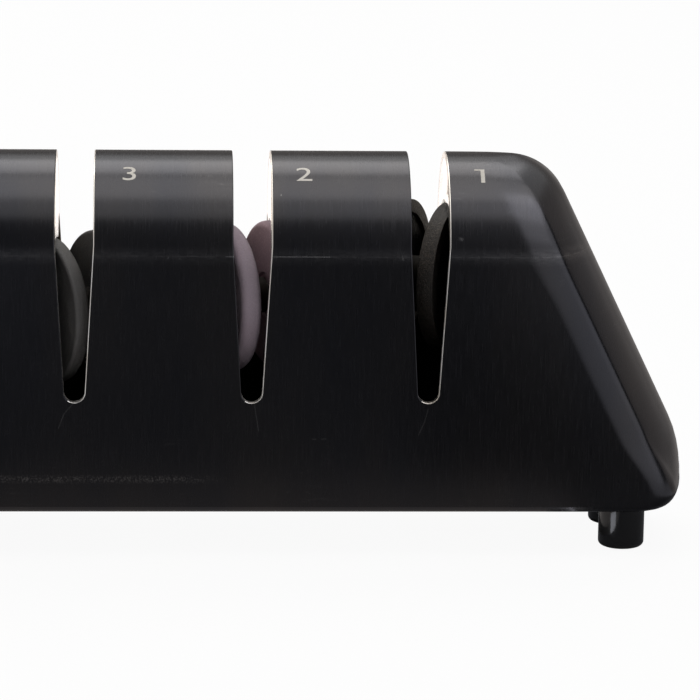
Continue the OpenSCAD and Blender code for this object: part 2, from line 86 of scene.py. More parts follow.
class Bench:
    """Blender's tools, used on one piece at a time. Lengths are in millimetres."""

    @staticmethod
    def take(piece: Piece) -> None:
        """Makes the piece the only selected and active one."""
        bpy.ops.object.select_all(action="DESELECT")
        piece.select_set(True)
        bpy.context.view_layer.objects.active = piece

    @staticmethod
    def settle(piece: Piece, name: str) -> Piece:
        """Puts the object's place into its mesh and names the piece.

        Args:
            piece: Object that an operator has just added.
            name: Name of the piece.

        Returns:
            The same object, at the origin.
        """
        Bench.take(piece)
        bpy.ops.object.transform_apply(location=True, rotation=True, scale=True)
        piece.name = name
        piece.data.name = name
        return piece

    @staticmethod
    @contextmanager
    def editing(piece: Piece) -> Iterator[None]:
        """Opens edit mode on the piece with nothing selected."""
        Bench.take(piece)
        bpy.ops.object.mode_set(mode="EDIT")
        bpy.ops.mesh.select_all(action="DESELECT")
        yield
        bpy.ops.object.mode_set(mode="OBJECT")

    @staticmethod
    def pick(piece: Piece, part: Part, test: Callable) -> int:
        """Selects the elements that pass a test, and nothing else.

        Args:
            piece: Piece that is open in edit mode.
            part: Kind of element.
            test: Called with each element.

        Returns:
            Number of selected elements.
        """
        bpy.ops.mesh.select_all(action="DESELECT")
        bpy.ops.mesh.select_mode(type=part.value[1])
        mesh = bmesh.from_edit_mesh(piece.data)
        mesh.normal_update()
        chosen = [item for item in getattr(mesh, part.value[0]) if test(item)]
        for item in chosen:
            item.select_set(True)
        mesh.select_flush_mode()
        bmesh.update_edit_mesh(piece.data)
        return len(chosen)

    @staticmethod
    def rod(
        name: str, radius: float, length: float, middle: Point, turn: Point = (0, 0, 0), sides: int = 96
    ) -> Piece:
        """Adds a round bar.

        Args:
            name: Name of the piece.
            radius: Radius.
            length: Length along its axis.
            middle: Its middle.
            turn: Turns about X, Y and Z in degrees; unturned it stands along Z.
            sides: Number of sides.

        Returns:
            The bar, with its place in its mesh.
        """
        bpy.ops.object.select_all(action="DESELECT")
        bpy.ops.mesh.primitive_cylinder_add(
            vertices=sides,
            radius=radius * MM,
            depth=length * MM,
            location=[value * MM for value in middle],
            rotation=[math.radians(value) for value in turn],
        )
        return Bench.settle(bpy.context.object, name)

    @staticmethod
    def block(name: str, low: Point, high: Point) -> Piece:
        """Adds a block between two corners.

        Args:
            name: Name of the piece.
            low: Lowest corner.
            high: Highest corner.

        Returns:
            The block, with its place in its mesh.
        """
        bpy.ops.object.select_all(action="DESELECT")
        bpy.ops.mesh.primitive_cube_add(size=1, location=[(a + b) / 2 * MM for a, b in zip(low, high)])
        piece = bpy.context.object
        piece.scale = [(b - a) * MM for a, b in zip(low, high)]
        return Bench.settle(piece, name)

    @staticmethod
    def arch_bar(name: str, start: float, length: float, radius: float, low: float, spring: float) -> Piece:
        """Adds a bar along X with an arched top and upright sides.

        Args:
            name: Name of the piece.
            start: Place of its back end along X.
            length: Its length.
            radius: Radius of the arch.
            low: Height of its flat underside.
            spring: Height at which the arch starts.

        Returns:
            The bar as a closed solid.
        """
        piece = Bench.rod(name, radius, length, (start + length / 2, 0, spring), (0, 90, 0), 128)
        with Bench.editing(piece):
            bpy.ops.mesh.select_all(action="SELECT")
            bpy.ops.mesh.bisect(
                plane_co=(0, 0, spring * MM), plane_no=(0, 0, 1), clear_inner=True, threshold=1e-6
            )
            Bench.pick(piece, Part.EDGES, lambda edge: edge.is_boundary)
            bpy.ops.mesh.extrude_edges_move(TRANSFORM_OT_translate={"value": (0, 0, (low - spring) * MM)})
            Bench.pick(piece, Part.EDGES, lambda edge: edge.is_boundary)
            bpy.ops.mesh.edge_face_add()
            bpy.ops.mesh.select_all(action="SELECT")
            bpy.ops.mesh.dissolve_limited(angle_limit=math.radians(0.5))
            bpy.ops.mesh.normals_make_consistent(inside=False)
        return piece

    @staticmethod
    def prism(name: str, outline: Sequence[Point], sweep: Point) -> Piece:
        """Draws a flat outline and extrudes it.

        Args:
            name: Name of the piece.
            outline: Corners of the outline in order.
            sweep: Direction and length of the extrusion.

        Returns:
            The prism as a closed solid.
        """
        piece = Bench.skin(name, outline, [range(len(outline))])
        with Bench.editing(piece):
            bpy.ops.mesh.select_all(action="SELECT")
            Bench.pull(sweep)
            Bench.face_out()
        return piece

    @staticmethod
    def shape(piece: Piece, tools: Sequence[Piece], cut: Cut = Cut.TAKE_AWAY) -> None:
        """Cuts the tools out of the piece, or joins them to it, and uses them up."""
        for tool in tools:
            Bench.take(piece)
            step = piece.modifiers.new("shape", "BOOLEAN")
            step.object = tool
            step.operation = cut.value
            step.solver = "EXACT"
            step.material_mode = "TRANSFER"
            bpy.ops.object.modifier_apply(modifier=step.name)
            bpy.data.objects.remove(tool, do_unlink=True)

    @staticmethod
    def ease(piece: Piece, width: float, angle: float = 40, segments: int = 2) -> None:
        """Rounds every edge sharper than an angle with an applied bevel."""
        Bench.take(piece)
        step = piece.modifiers.new("ease", "BEVEL")
        step.width = width * MM
        step.segments = segments
        step.limit_method = "ANGLE"
        step.angle_limit = math.radians(angle)
        step.use_clamp_overlap = True
        bpy.ops.object.modifier_apply(modifier=step.name)

    @staticmethod
    def smooth(piece: Piece, angle: float = 30) -> None:
        """Shades the piece smooth up to an angle."""
        Bench.take(piece)
        bpy.ops.object.shade_smooth_by_angle(angle=math.radians(angle))

    @staticmethod
    def copy_of(node: str, name: str) -> Piece:
        """Copies the mesh of a CAD node and merges its loose triangles into clean faces.

        Args:
            node: Name of the CAD node.
            name: Name of the new piece.

        Returns:
            The merged copy.
        """
        piece = Bench.place(name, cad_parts[node].data.copy())
        piece.data.materials.clear()
        with Bench.editing(piece):
            bpy.ops.mesh.select_all(action="SELECT")
            bpy.ops.mesh.remove_doubles(threshold=2e-6)
            bpy.ops.mesh.dissolve_limited(angle_limit=math.radians(1))
        return piece

    @staticmethod
    def place(name: str, mesh: bpy.types.Mesh) -> Piece:
        """Puts a mesh into the scene as a piece."""
        mesh.name = name
        piece = bpy.data.objects.new(name, mesh)
        bpy.context.collection.objects.link(piece)
        return piece

    @staticmethod
    def skin(name: str, points: Sequence[Point], faces: Sequence[Sequence[int]]) -> Piece:
        """Makes a piece from its points and faces."""
        mesh = bpy.data.meshes.new(name)
        mesh.from_pydata([[value * MM for value in point] for point in points], [], faces)
        return Bench.place(name, mesh)

    @staticmethod
    def face_out() -> None:
        """Turns every face of the piece in edit mode outwards."""
        bpy.ops.mesh.select_all(action="SELECT")
        bpy.ops.mesh.normals_make_consistent(inside=False)

    @staticmethod
    def pull(sweep: Point) -> None:
        """Extrudes the selected faces."""
        bpy.ops.mesh.extrude_region_move(TRANSFORM_OT_translate={"value": [value * MM for value in sweep]})

    @staticmethod
    def inset(width: float, sink: float = 0.0, each: bool = False) -> None:
        """Insets the selected faces, as one or each by itself, and sinks them."""
        bpy.ops.mesh.inset(thickness=width * MM, depth=-sink * MM, use_individual=each)

    @staticmethod
    def bevel(piece: Piece, test: Callable, width: float, segments: int, material: int = -1) -> None:
        """Rounds the edges that pass a test, in the finish of their faces or of a material slot."""
        Bench.pick(piece, Part.EDGES, test)
        bpy.ops.mesh.bevel(offset=width * MM, segments=segments, profile=0.5, material=material, affect="EDGES")

    @staticmethod
    def bridge(piece: Piece) -> None:
        """Takes the selected faces away and joins the two open rims by a bore."""
        bpy.ops.mesh.delete(type="ONLY_FACE")
        Bench.pick(piece, Part.EDGES, lambda edge: edge.is_boundary)
        bpy.ops.mesh.bridge_edge_loops()
        Bench.face_out()

    @staticmethod
    def dress(piece: Piece, finish: bpy.types.Material, body: str, slot: str, *nodes: str) -> None:
        """Gives a finished piece its material and its body, and hides the CAD nodes that it stands for."""
        if not any(piece.data.materials):
            piece.data.materials.clear()
            piece.data.materials.append(finish)
        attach(piece, body)
        if nodes:
            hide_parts(*nodes)
        log.info("%s: %d faces on %s", piece.name, len(piece.data.polygons), body)


class Weave:
    """A node tree under construction."""

    def __init__(self, tree: bpy.types.NodeTree) -> None:
        """Starts on an empty tree."""
        self.tree = tree
        tree.nodes.clear()

    def add(
        self, kind: str, inputs: Mapping[str | int, object] | None = None, **settings: object
    ) -> bpy.types.Node:
        """Adds a node.

        Args:
            kind: Node type.
            inputs: Values or sockets, by the input's name or number.
            settings: Properties of the node.

        Returns:
            The node.
        """
        node = self.tree.nodes.new(kind)
        for key, value in settings.items():
            setattr(node, key, value)
        for key, value in (inputs or {}).items():
            if isinstance(value, Socket):
                self.tree.links.new(value, node.inputs[key])
            else:
                node.inputs[key].default_value = value
        return node

    def noise(self, vector: Socket, scale: float | Socket, detail: float = 2, rough: float = 0.5) -> Socket:
        """Returns cloudy noise around 0.5."""
        inputs = {"Vector": vector, "Scale": scale, "Detail": detail, "Roughness": rough}
        return self.add("ShaderNodeTexNoise", inputs).outputs["Fac"]

    def scaled(self, vector: Socket, scale: Point, turn: Point = (0, 0, 0)) -> Socket:
        """Returns the vector turned and scaled by axis."""
        turned = [math.radians(value) for value in turn]
        return self.add("ShaderNodeMapping", {"Vector": vector, "Rotation": turned, "Scale": scale}).outputs[0]

    def remap(
        self, value: Socket, low: float, high: float, out_low: float | Socket, out_high: float | Socket
    ) -> Socket:
        """Returns the value moved from one range to another, and held there."""
        inputs = {"Value": value, "From Min": low, "From Max": high, "To Min": out_low, "To Max": out_high}
        return self.add("ShaderNodeMapRange", inputs).outputs[0]

    def maths(self, operation: str, first: Socket | float, second: Socket | float = 0.0) -> Socket:
        """Returns the result of one sum."""
        return self.add("ShaderNodeMath", {0: first, 1: second}, operation=operation).outputs[0]

    def blend(self, factor: Socket, first: Socket | Colour, second: Socket | Colour) -> Socket:
        """Returns a colour between two others."""
        colours = [(*c, 1.0) if isinstance(c, tuple) else c for c in (first, second)]
        node = self.add("ShaderNodeMix", {0: factor, 6: colours[0], 7: colours[1]}, data_type="RGBA")
        return node.outputs[2]

    def bump(self, height: Socket, distance: float, normal: Socket | None = None) -> Socket:
        """Returns a normal that follows the height, with its depth in millimetres."""
        inputs = {"Height": height, "Distance": distance * MM, "Strength": 1.0}
        if normal is not None:
            inputs["Normal"] = normal
        return self.add("ShaderNodeBump", inputs).outputs[0]

    def vector(
        self, operation: str, first: Socket, second: Socket | Sequence[float], output: str = "Vector"
    ) -> Socket:
        """Returns the result of one vector sum."""
        return self.add("ShaderNodeVectorMath", {0: first, 1: second}, operation=operation).outputs[output]

    def off(self, value: Socket, middle: float) -> Socket:
        """Returns how far a length is from a middle in millimetres."""
        return self.maths("ABSOLUTE", self.maths("SUBTRACT", value, middle * MM))

    def group(self, name: str, place: Socket, **values: float) -> bpy.types.Node:
        """Returns a shared effect at a place, with its values set."""
        node = self.add("ShaderNodeGroup", node_tree=bpy.data.node_groups[name])
        for key, value in values.items():
            node.inputs[key].default_value = value
        self.tree.links.new(place, node.inputs["Vector"])
        return node

    def close(self, shader: bpy.types.Node, kind: str = "ShaderNodeOutputMaterial") -> None:
        """Ends the tree in a shader."""
        end = self.add(kind)
        self.tree.links.new(shader.outputs[0], end.inputs["Surface"])

    def surface(
        self, colour: Socket, rough: Socket, height: Socket, depth: float, extras: Mapping[str, float]
    ) -> None:
        """Ends the tree in one principled shader.

        Args:
            colour: Base colour.
            rough: Roughness.
            height: Height that the bump follows.
            depth: Depth of the bump in millimetres.
            extras: Values of more inputs.
        """
        inputs = {"Base Color": colour, "Roughness": rough, "Normal": self.bump(height, depth), **extras}
        self.close(self.add("ShaderNodeBsdfPrincipled", inputs))

    @staticmethod
    def start(name: str) -> tuple[bpy.types.Material, "Weave", Socket]:
        """Returns a new material, its tree, and the place on the piece."""
        material = bpy.data.materials.new(name)
        material.use_nodes = True
        weave = Weave(material.node_tree)
        return material, weave, weave.add("ShaderNodeTexCoord").outputs["Object"]


class Effects:
    """Surface effects that several finishes share, each built once as a node group."""

    @staticmethod
    def open_group(
        name: str, inputs: Sequence[tuple[str, float]], outputs: Sequence[str]
    ) -> tuple[Weave, bpy.types.Node, bpy.types.Node]:
        """Starts a node group.

        Args:
            name: Name of the group.
            inputs: Names and default values of its numbers; a Vector input comes first by itself.
            outputs: Names of its output values.

        Returns:
            The tree, its input node and its output node.
        """
        tree = bpy.data.node_groups.new(name, "ShaderNodeTree")
        tree.interface.new_socket("Vector", in_out="INPUT", socket_type="NodeSocketVector")
        for label, value in inputs:
            tree.interface.new_socket(label, in_out="INPUT", socket_type="NodeSocketFloat").default_value = value
        for label in outputs:
            tree.interface.new_socket(label, in_out="OUTPUT", socket_type="NodeSocketFloat")
        weave = Weave(tree)
        return weave, weave.add("NodeGroupInput"), weave.add("NodeGroupOutput")

    @staticmethod
    def grain() -> bpy.types.NodeTree:
        """Fine grain with slow blotches, both between 0 and 1."""
        weave, start, end = Effects.open_group("surface_grain", [("Scale", 3000.0)], ["Grain", "Blotch"])
        fine = weave.noise(start.outputs["Vector"], start.outputs["Scale"], 3, 0.6)
        slow_scale = weave.maths("MULTIPLY", start.outputs["Scale"], 0.02)
        slow = weave.noise(start.outputs["Vector"], slow_scale, 3)
        weave.tree.links.new(weave.remap(fine, 0.3, 0.7, 0.0, 1.0), end.inputs["Grain"])
        weave.tree.links.new(weave.remap(slow, 0.35, 0.65, 0.0, 1.0), end.inputs["Blotch"])
        return weave.tree

    @staticmethod
    def scratches() -> bpy.types.NodeTree:
        """Sparse hairlines in three directions across the XZ plane, as a mask."""
        weave, start, end = Effects.open_group(
            "hairline_scratches", [("Length", 60.0), ("Amount", 0.5)], ["Mask"]
        )
        total: Socket | None = None
        for turn, stretch in ((4.0, 26.0), (-38.0, 30.0), (68.0, 34.0)):
            along = weave.scaled(start.outputs["Vector"], (1, 1, stretch), (0, turn, 0))
            lines = weave.noise(along, start.outputs["Length"], 1.5)
            gaps = weave.noise(start.outputs["Vector"], 90 + turn, 2)
            line = weave.remap(weave.maths("ABSOLUTE", weave.maths("SUBTRACT", lines, 0.5)), 0.0, 0.006, 1.0, 0.0)
            place = weave.remap(gaps, 0.56, 0.66, 0.0, 1.0)
            mask = weave.maths("MULTIPLY", line, place)
            total = mask if total is None else weave.maths("MAXIMUM", total, mask)
        weave.tree.links.new(weave.maths("MULTIPLY", total, start.outputs["Amount"]), end.inputs["Mask"])
        return weave.tree

    @staticmethod
    def dust() -> bpy.types.NodeTree:
        """Dust that settles on what faces up, as a mask."""
        weave, start, end = Effects.open_group("settled_dust", [("Amount", 0.5)], ["Mask"])
        normal = weave.add("ShaderNodeNewGeometry").outputs["Normal"]
        up = weave.add("ShaderNodeSeparateXYZ", {0: normal}).outputs[2]
        specks = weave.remap(weave.noise(start.outputs["Vector"], 2600, 2), 0.55, 0.8, 0.0, 1.0)
        film = weave.noise(start.outputs["Vector"], 240, 3)
        cover = weave.maths("ADD", specks, weave.maths("MULTIPLY", film, 0.35))
        facing = weave.remap(up, 0.1, 0.95, 0.0, 1.0)
        mask = weave.maths("MULTIPLY", weave.maths("MULTIPLY", cover, facing), start.outputs["Amount"])
        weave.tree.links.new(mask, end.inputs["Mask"])
        return weave.tree


@dataclass(frozen=True)
class Plastic:
    """Moulded plastic or rubber with a fine grain, slow blotches and settled dust."""

    name: str
    colour: Colour
    tint: Colour
    roughness: float = 0.5
    spread: float = 0.12
    grain: float = 3000
    depth: float = 0.02
    dust: float = 0.1
    dust_colour: Colour = (0.30, 0.28, 0.25)
    specular: float = 0.5

    def material(self) -> bpy.types.Material:
        """Returns the finish as a material."""
        material, weave, place = Weave.start(self.name)
        grain = weave.group("surface_grain", place, Scale=self.grain)
        dust = weave.group("settled_dust", place, Amount=self.dust)
        body = weave.blend(grain.outputs["Blotch"], self.colour, self.tint)
        colour = weave.blend(dust.outputs["Mask"], body, self.dust_colour)
        half = self.spread / 2
        rough = weave.remap(grain.outputs["Grain"], 0, 1, self.roughness - half, self.roughness + half)
        weave.surface(colour, rough, grain.outputs["Grain"], self.depth, {"Specular IOR Level": self.specular})
        return material


@dataclass(frozen=True)
class GroundMetal:
    """Bright metal with fine marks of grinding along one direction."""

    name: str
    colour: Colour
    stain: Colour
    roughness: float = 0.32
    marks: Point = (40, 4000, 4000)
    depth: float = 0.004
    scratch: float = 0.5

    def material(self) -> bpy.types.Material:
        """Returns the finish as a material."""
        material, weave, place = Weave.start(self.name)
        streak = weave.noise(weave.scaled(place, self.marks), 1.0, 3, 0.6)
        slow = weave.remap(weave.noise(place, 180, 3), 0.4, 0.7, 0.0, 1.0)
        scratch = weave.group("hairline_scratches", place, Amount=self.scratch)
        colour = weave.blend(slow, self.colour, self.stain)
        rough = weave.remap(streak, 0.3, 0.7, self.roughness - 0.08, self.roughness + 0.1)
        height = weave.maths("SUBTRACT", streak, scratch.outputs["Mask"])
        weave.surface(colour, rough, height, self.depth, {"Metallic": 1.0})
        return material


@dataclass(frozen=True)
class BlackSheetMetal:
    """Black-coated sheet metal, brushed along the head, with hairline scratches and a little dust.

    Its marks are placed across the front in millimetres: the height of the bend line, rubbed wear with a painted
    highlight of the crease, and its brighter runs, the end and height of the scuff, the nicks with their radius,
    and the hairlines from end to end.
    """

    name: str = "black_sheet_metal"
    colour: Colour = (0.040, 0.040, 0.044)
    worn: Colour = (0.048, 0.046, 0.047)
    scratch_colour: Colour = (0.30, 0.29, 0.28)
    dust_colour: Colour = (0.16, 0.15, 0.14)
    roughness: float = 0.24
    depth: float = 0.0015
    scratch: float = 0.1
    dust: float = 0.04
    bend: float = 42.9
    bend_line: float = 0.34
    bend_spread: float = 0.15
    scuff: tuple[float, float] = (90.0, 11.2)
    scuff_fade: float = 6
    worn_runs: tuple[tuple[float, float], ...] = ((89.6, 91.2), (95.9, 104.4))
    nicks: tuple[tuple[float, float, float], ...] = (
        (114.3, 42.8, 0.55), (115.1, 42.7, 0.35), (122.3, 45.4, 0.42), (124.6, 42.9, 0.3),
        (97.45, 51.0, 0.16), (81.9, 42.75, 0.3), (83.5, 42.6, 0.2), (100.2, 43.5, 0.2),
    )
    hairlines: tuple[tuple[float, float, float, float], ...] = (
        (68.74, 22.0, 67.5, 20.6), (67.5, 20.6, 66.7, 18.5), (93.9, 21.9, 94.5, 18.2),
        (118.1, 21.4, 117.6, 19.4), (117.6, 19.4, 116.8, 17.6), (102.0, 17.0, 102.5, 17.0),
        (103.3, 17.0, 103.9, 17.05),
    )

    def bend_wear(self, weave: Weave, place: Socket, along: Socket, up: Socket) -> Socket:
        """Returns the mask of the bend line, rubbed wear with a painted highlight of the crease: a fine line, its
        soft lighter spread, and its brighter runs.
        """
        wavy = weave.noise(weave.scaled(place, (900, 60, 4000)), 1.0, 3, 0.7)
        from_bend = weave.off(up, self.bend)
        # The bend's line and soft spread are rubbed wear and also a painted highlight of the crease between front
        # and arch.
        line = weave.remap(from_bend, 0.03 * MM, 0.11 * MM, 1.0, 0.0)
        spread = weave.remap(from_bend, 0.1 * MM, 1.4 * MM, self.bend_spread, 0.0)
        total = weave.maths("MAXIMUM", weave.maths("MULTIPLY", line, self.bend_line), spread)
        total = weave.maths("MULTIPLY", total, weave.remap(wavy, 0.38, 0.6, 0.25, 1.0))
        bright = weave.remap(wavy, 0.3, 0.5, 0.5, 1.0)
        for low, high in self.worn_runs:
            half = (high - low) / 2
            run = weave.remap(weave.off(along, (low + high) / 2), (half - 0.3) * MM, half * MM, 1.0, 0.0)
            strong = weave.maths("MULTIPLY", weave.maths("MULTIPLY", line, run), bright)
            total = weave.maths("MAXIMUM", total, strong)
        return total

    def scuff_wear(self, weave: Weave, broken: Socket, along: Socket, up: Socket) -> Socket:
        """Returns the mask of the broken scuff low on the front."""
        end, height = self.scuff
        scuff = weave.maths("MULTIPLY", weave.remap(weave.off(up, height), 0.1 * MM, 0.7 * MM, 0.4, 0.0), broken)
        reach = weave.remap(along, (end - self.scuff_fade) * MM, end * MM, 1.0, 0.0)
        return weave.maths("MULTIPLY", scuff, reach)

    @staticmethod
    def hairline(weave: Weave, flat: Socket, ends: tuple[float, float, float, float]) -> Socket:
        """Returns the mask of one hairline from end to end."""
        x0, z0, x1, z1 = ends
        run = Vector(((x1 - x0) * MM, 0, (z1 - z0) * MM))
        arm = weave.vector("SUBTRACT", flat, (x0 * MM, 0, z0 * MM))
        along = weave.vector("DOT_PRODUCT", arm, run / run.length_squared, "Value")
        share = weave.remap(along, 0.0, 1.0, 0.0, 1.0)
        foot = weave.add("ShaderNodeVectorMath", {0: run, "Scale": share}, operation="SCALE").outputs[0]
        gap = weave.vector("DISTANCE", arm, foot, "Value")
        return weave.remap(gap, 0.02 * MM, 0.07 * MM, 0.35, 0.0)

    def wear(self, weave: Weave, place: Socket) -> Socket:
        """Returns the mask of all marks: the worn spots, and the bend line with its painted highlight."""
        along, _, up = weave.add("ShaderNodeSeparateXYZ", {0: place}).outputs
        flat = weave.add("ShaderNodeCombineXYZ", {0: along, 2: up}).outputs[0]
        broken = weave.remap(weave.noise(place, 5200, 2), 0.5, 0.62, 0.0, 1.0)
        total = self.bend_wear(weave, place, along, up)
        total = weave.maths("MAXIMUM", total, self.scuff_wear(weave, broken, along, up))
        for x, z, radius in self.nicks:
            gap = weave.vector("DISTANCE", flat, (x * MM, 0, z * MM), "Value")
            spot = weave.maths("MULTIPLY", weave.remap(gap, 0.2 * radius * MM, radius * MM, 0.9, 0.0), broken)
            total = weave.maths("MAXIMUM", total, spot)
        for ends in self.hairlines:
            total = weave.maths("MAXIMUM", total, self.hairline(weave, flat, ends))
        return total

    def material(self) -> bpy.types.Material:
        """Returns the finish as a material."""
        material, weave, place = Weave.start(self.name)
        streak = weave.noise(weave.scaled(place, (5200, 240, 240)), 1.0, 3, 0.65)
        slow = weave.remap(weave.noise(weave.scaled(place, (90, 30, 30)), 1.0, 3), 0.35, 0.65, 0.0, 1.0)
        scratch = weave.group("hairline_scratches", place, Amount=self.scratch)
        dust = weave.group("settled_dust", place, Amount=self.dust)
        marks = weave.maths("MAXIMUM", self.wear(weave, place), scratch.outputs["Mask"])
        scratched = weave.blend(marks, weave.blend(slow, self.colour, self.worn), self.scratch_colour)
        colour = weave.blend(dust.outputs["Mask"], scratched, self.dust_colour)
        rough = weave.remap(streak, 0.3, 0.7, self.roughness - 0.03, self.roughness + 0.05)
        weave.surface(colour, rough, weave.maths("SUBTRACT", streak, marks), self.depth, {"Metallic": 1.0})
        return material


@dataclass(frozen=True)
class Stone:
    """Grinding surface: grit of one size, pores, swarf that darkens the worn rim, and, inside a given radius, a
    near-black face painted as the shade in its recess.
    """

    name: str
    centre: Point
    colour: Colour
    grit_colour: Colour
    swarf: Colour
    rim: tuple[float, float]
    grit: float = 2600
    depth: float = 0.06
    roughness: float = 0.7
    metallic: float = 0.0
    core_radius: float = 0.0
    core: Colour = (0.004, 0.004, 0.004)

    def material(self) -> bpy.types.Material:
        """Returns the finish as a material."""
        material, weave, place = Weave.start(self.name)
        arm = weave.vector("SUBTRACT", place, [value * MM for value in self.centre])
        radius = weave.add("ShaderNodeVectorMath", {0: arm}, operation="LENGTH").outputs["Value"]
        cells = weave.add("ShaderNodeTexVoronoi", {"Vector": place, "Scale": self.grit})
        speck = weave.add("ShaderNodeSeparateColor", {0: cells.outputs["Color"]}).outputs[0]
        grain = weave.group("surface_grain", place, Scale=self.grit * 0.8)
        lit = weave.remap(speck, 0.62, 0.9, 0.0, 1.0)
        body = weave.blend(lit, self.colour, self.grit_colour)
        used = weave.remap(radius, self.rim[0] * MM, self.rim[1] * MM, 0.0, 1.0)
        patch = weave.maths("MULTIPLY", used, weave.remap(grain.outputs["Blotch"], 0.1, 0.9, 0.45, 1.0))
        colour = weave.blend(patch, body, self.swarf)
        # Inside the recess radius the face is painted near black as shade.
        if self.core_radius:
            inside = weave.remap(radius, (self.core_radius - 0.1) * MM, self.core_radius * MM, 1.0, 0.0)
            colour = weave.blend(inside, colour, self.core)
        rough = weave.remap(grain.outputs["Grain"], 0, 1, self.roughness - 0.12, self.roughness + 0.12)
        height = weave.maths("ADD", speck, grain.outputs["Grain"])
        weave.surface(colour, rough, height, self.depth, {"Metallic": self.metallic})
        return material


@dataclass
class Finishes:
    """The finishes of all pieces, made once."""

    def __post_init__(self) -> None:
        """Builds the shared effects and every material."""
        Effects.grain()
        Effects.scratches()
        Effects.dust()
        self.shell = BlackSheetMetal().material()
        self.bare_edge = GroundMetal("bare_cut_edge", (0.88, 0.84, 0.78), (0.66, 0.59, 0.50), 0.36).material()
        self.cheek = GroundMetal(
            "cheek_steel", (0.92, 0.89, 0.83), (0.87, 0.82, 0.75), 0.10, depth=0.0003, scratch=0.1
        ).material()
        self.inner = GroundMetal("inner_steel", (0.20, 0.155, 0.125), (0.14, 0.11, 0.09), 0.45).material()
        self.digit = GroundMetal("etched_digit", (0.27, 0.257, 0.234), (0.225, 0.212, 0.19), 0.5).material()
        # Axles and spacers are painted near black as the shade inside the head.
        self.dark_steel = GroundMetal(
            "painted_shade_steel", (0.020, 0.018, 0.016), (0.035, 0.030, 0.026), 0.6
        ).material()
        # Near-black finish of the sheet behind the wheels: painted shade.
        self.guard = Plastic(
            "shade_sheet_black", (0.003, 0.003, 0.003), (0.005, 0.005, 0.005), 0.8, 0.1, 2600, 0.02, 0.05, specular=0.1
        ).material()
        self.steel = GroundMetal("ground_steel", (0.62, 0.62, 0.63), (0.45, 0.44, 0.43), 0.30).material()
        self.foot = Plastic(
            "glossy_foot", (0.008, 0.008, 0.009), (0.014, 0.013, 0.013), 0.14, 0.06, 1800, 0.004, 0.04
        ).material()
        self.base = Plastic("base_plastic", (0.022, 0.022, 0.024), (0.034, 0.033, 0.033), 0.5).material()
        self.carrier = Plastic(
            "carrier_plastic", (0.030, 0.027, 0.024), (0.050, 0.042, 0.034), 0.6, 0.15, 2600, 0.03, 0.5
        ).material()
        self.sleeve = Plastic(
            "sleeve_plastic", (0.020, 0.020, 0.021), (0.026, 0.026, 0.027), 0.52, 0.16, 2400, 0.03, 0.10
        ).material()
        self.rubber = Plastic(
            "pad_rubber", (0.016, 0.016, 0.016), (0.028, 0.027, 0.026), 0.82, 0.12, 1800, 0.05, 0.2, specular=0.3
        ).material()
        self.button = Plastic("button_plastic", (0.045, 0.045, 0.047), (0.055, 0.054, 0.054), 0.42).material()


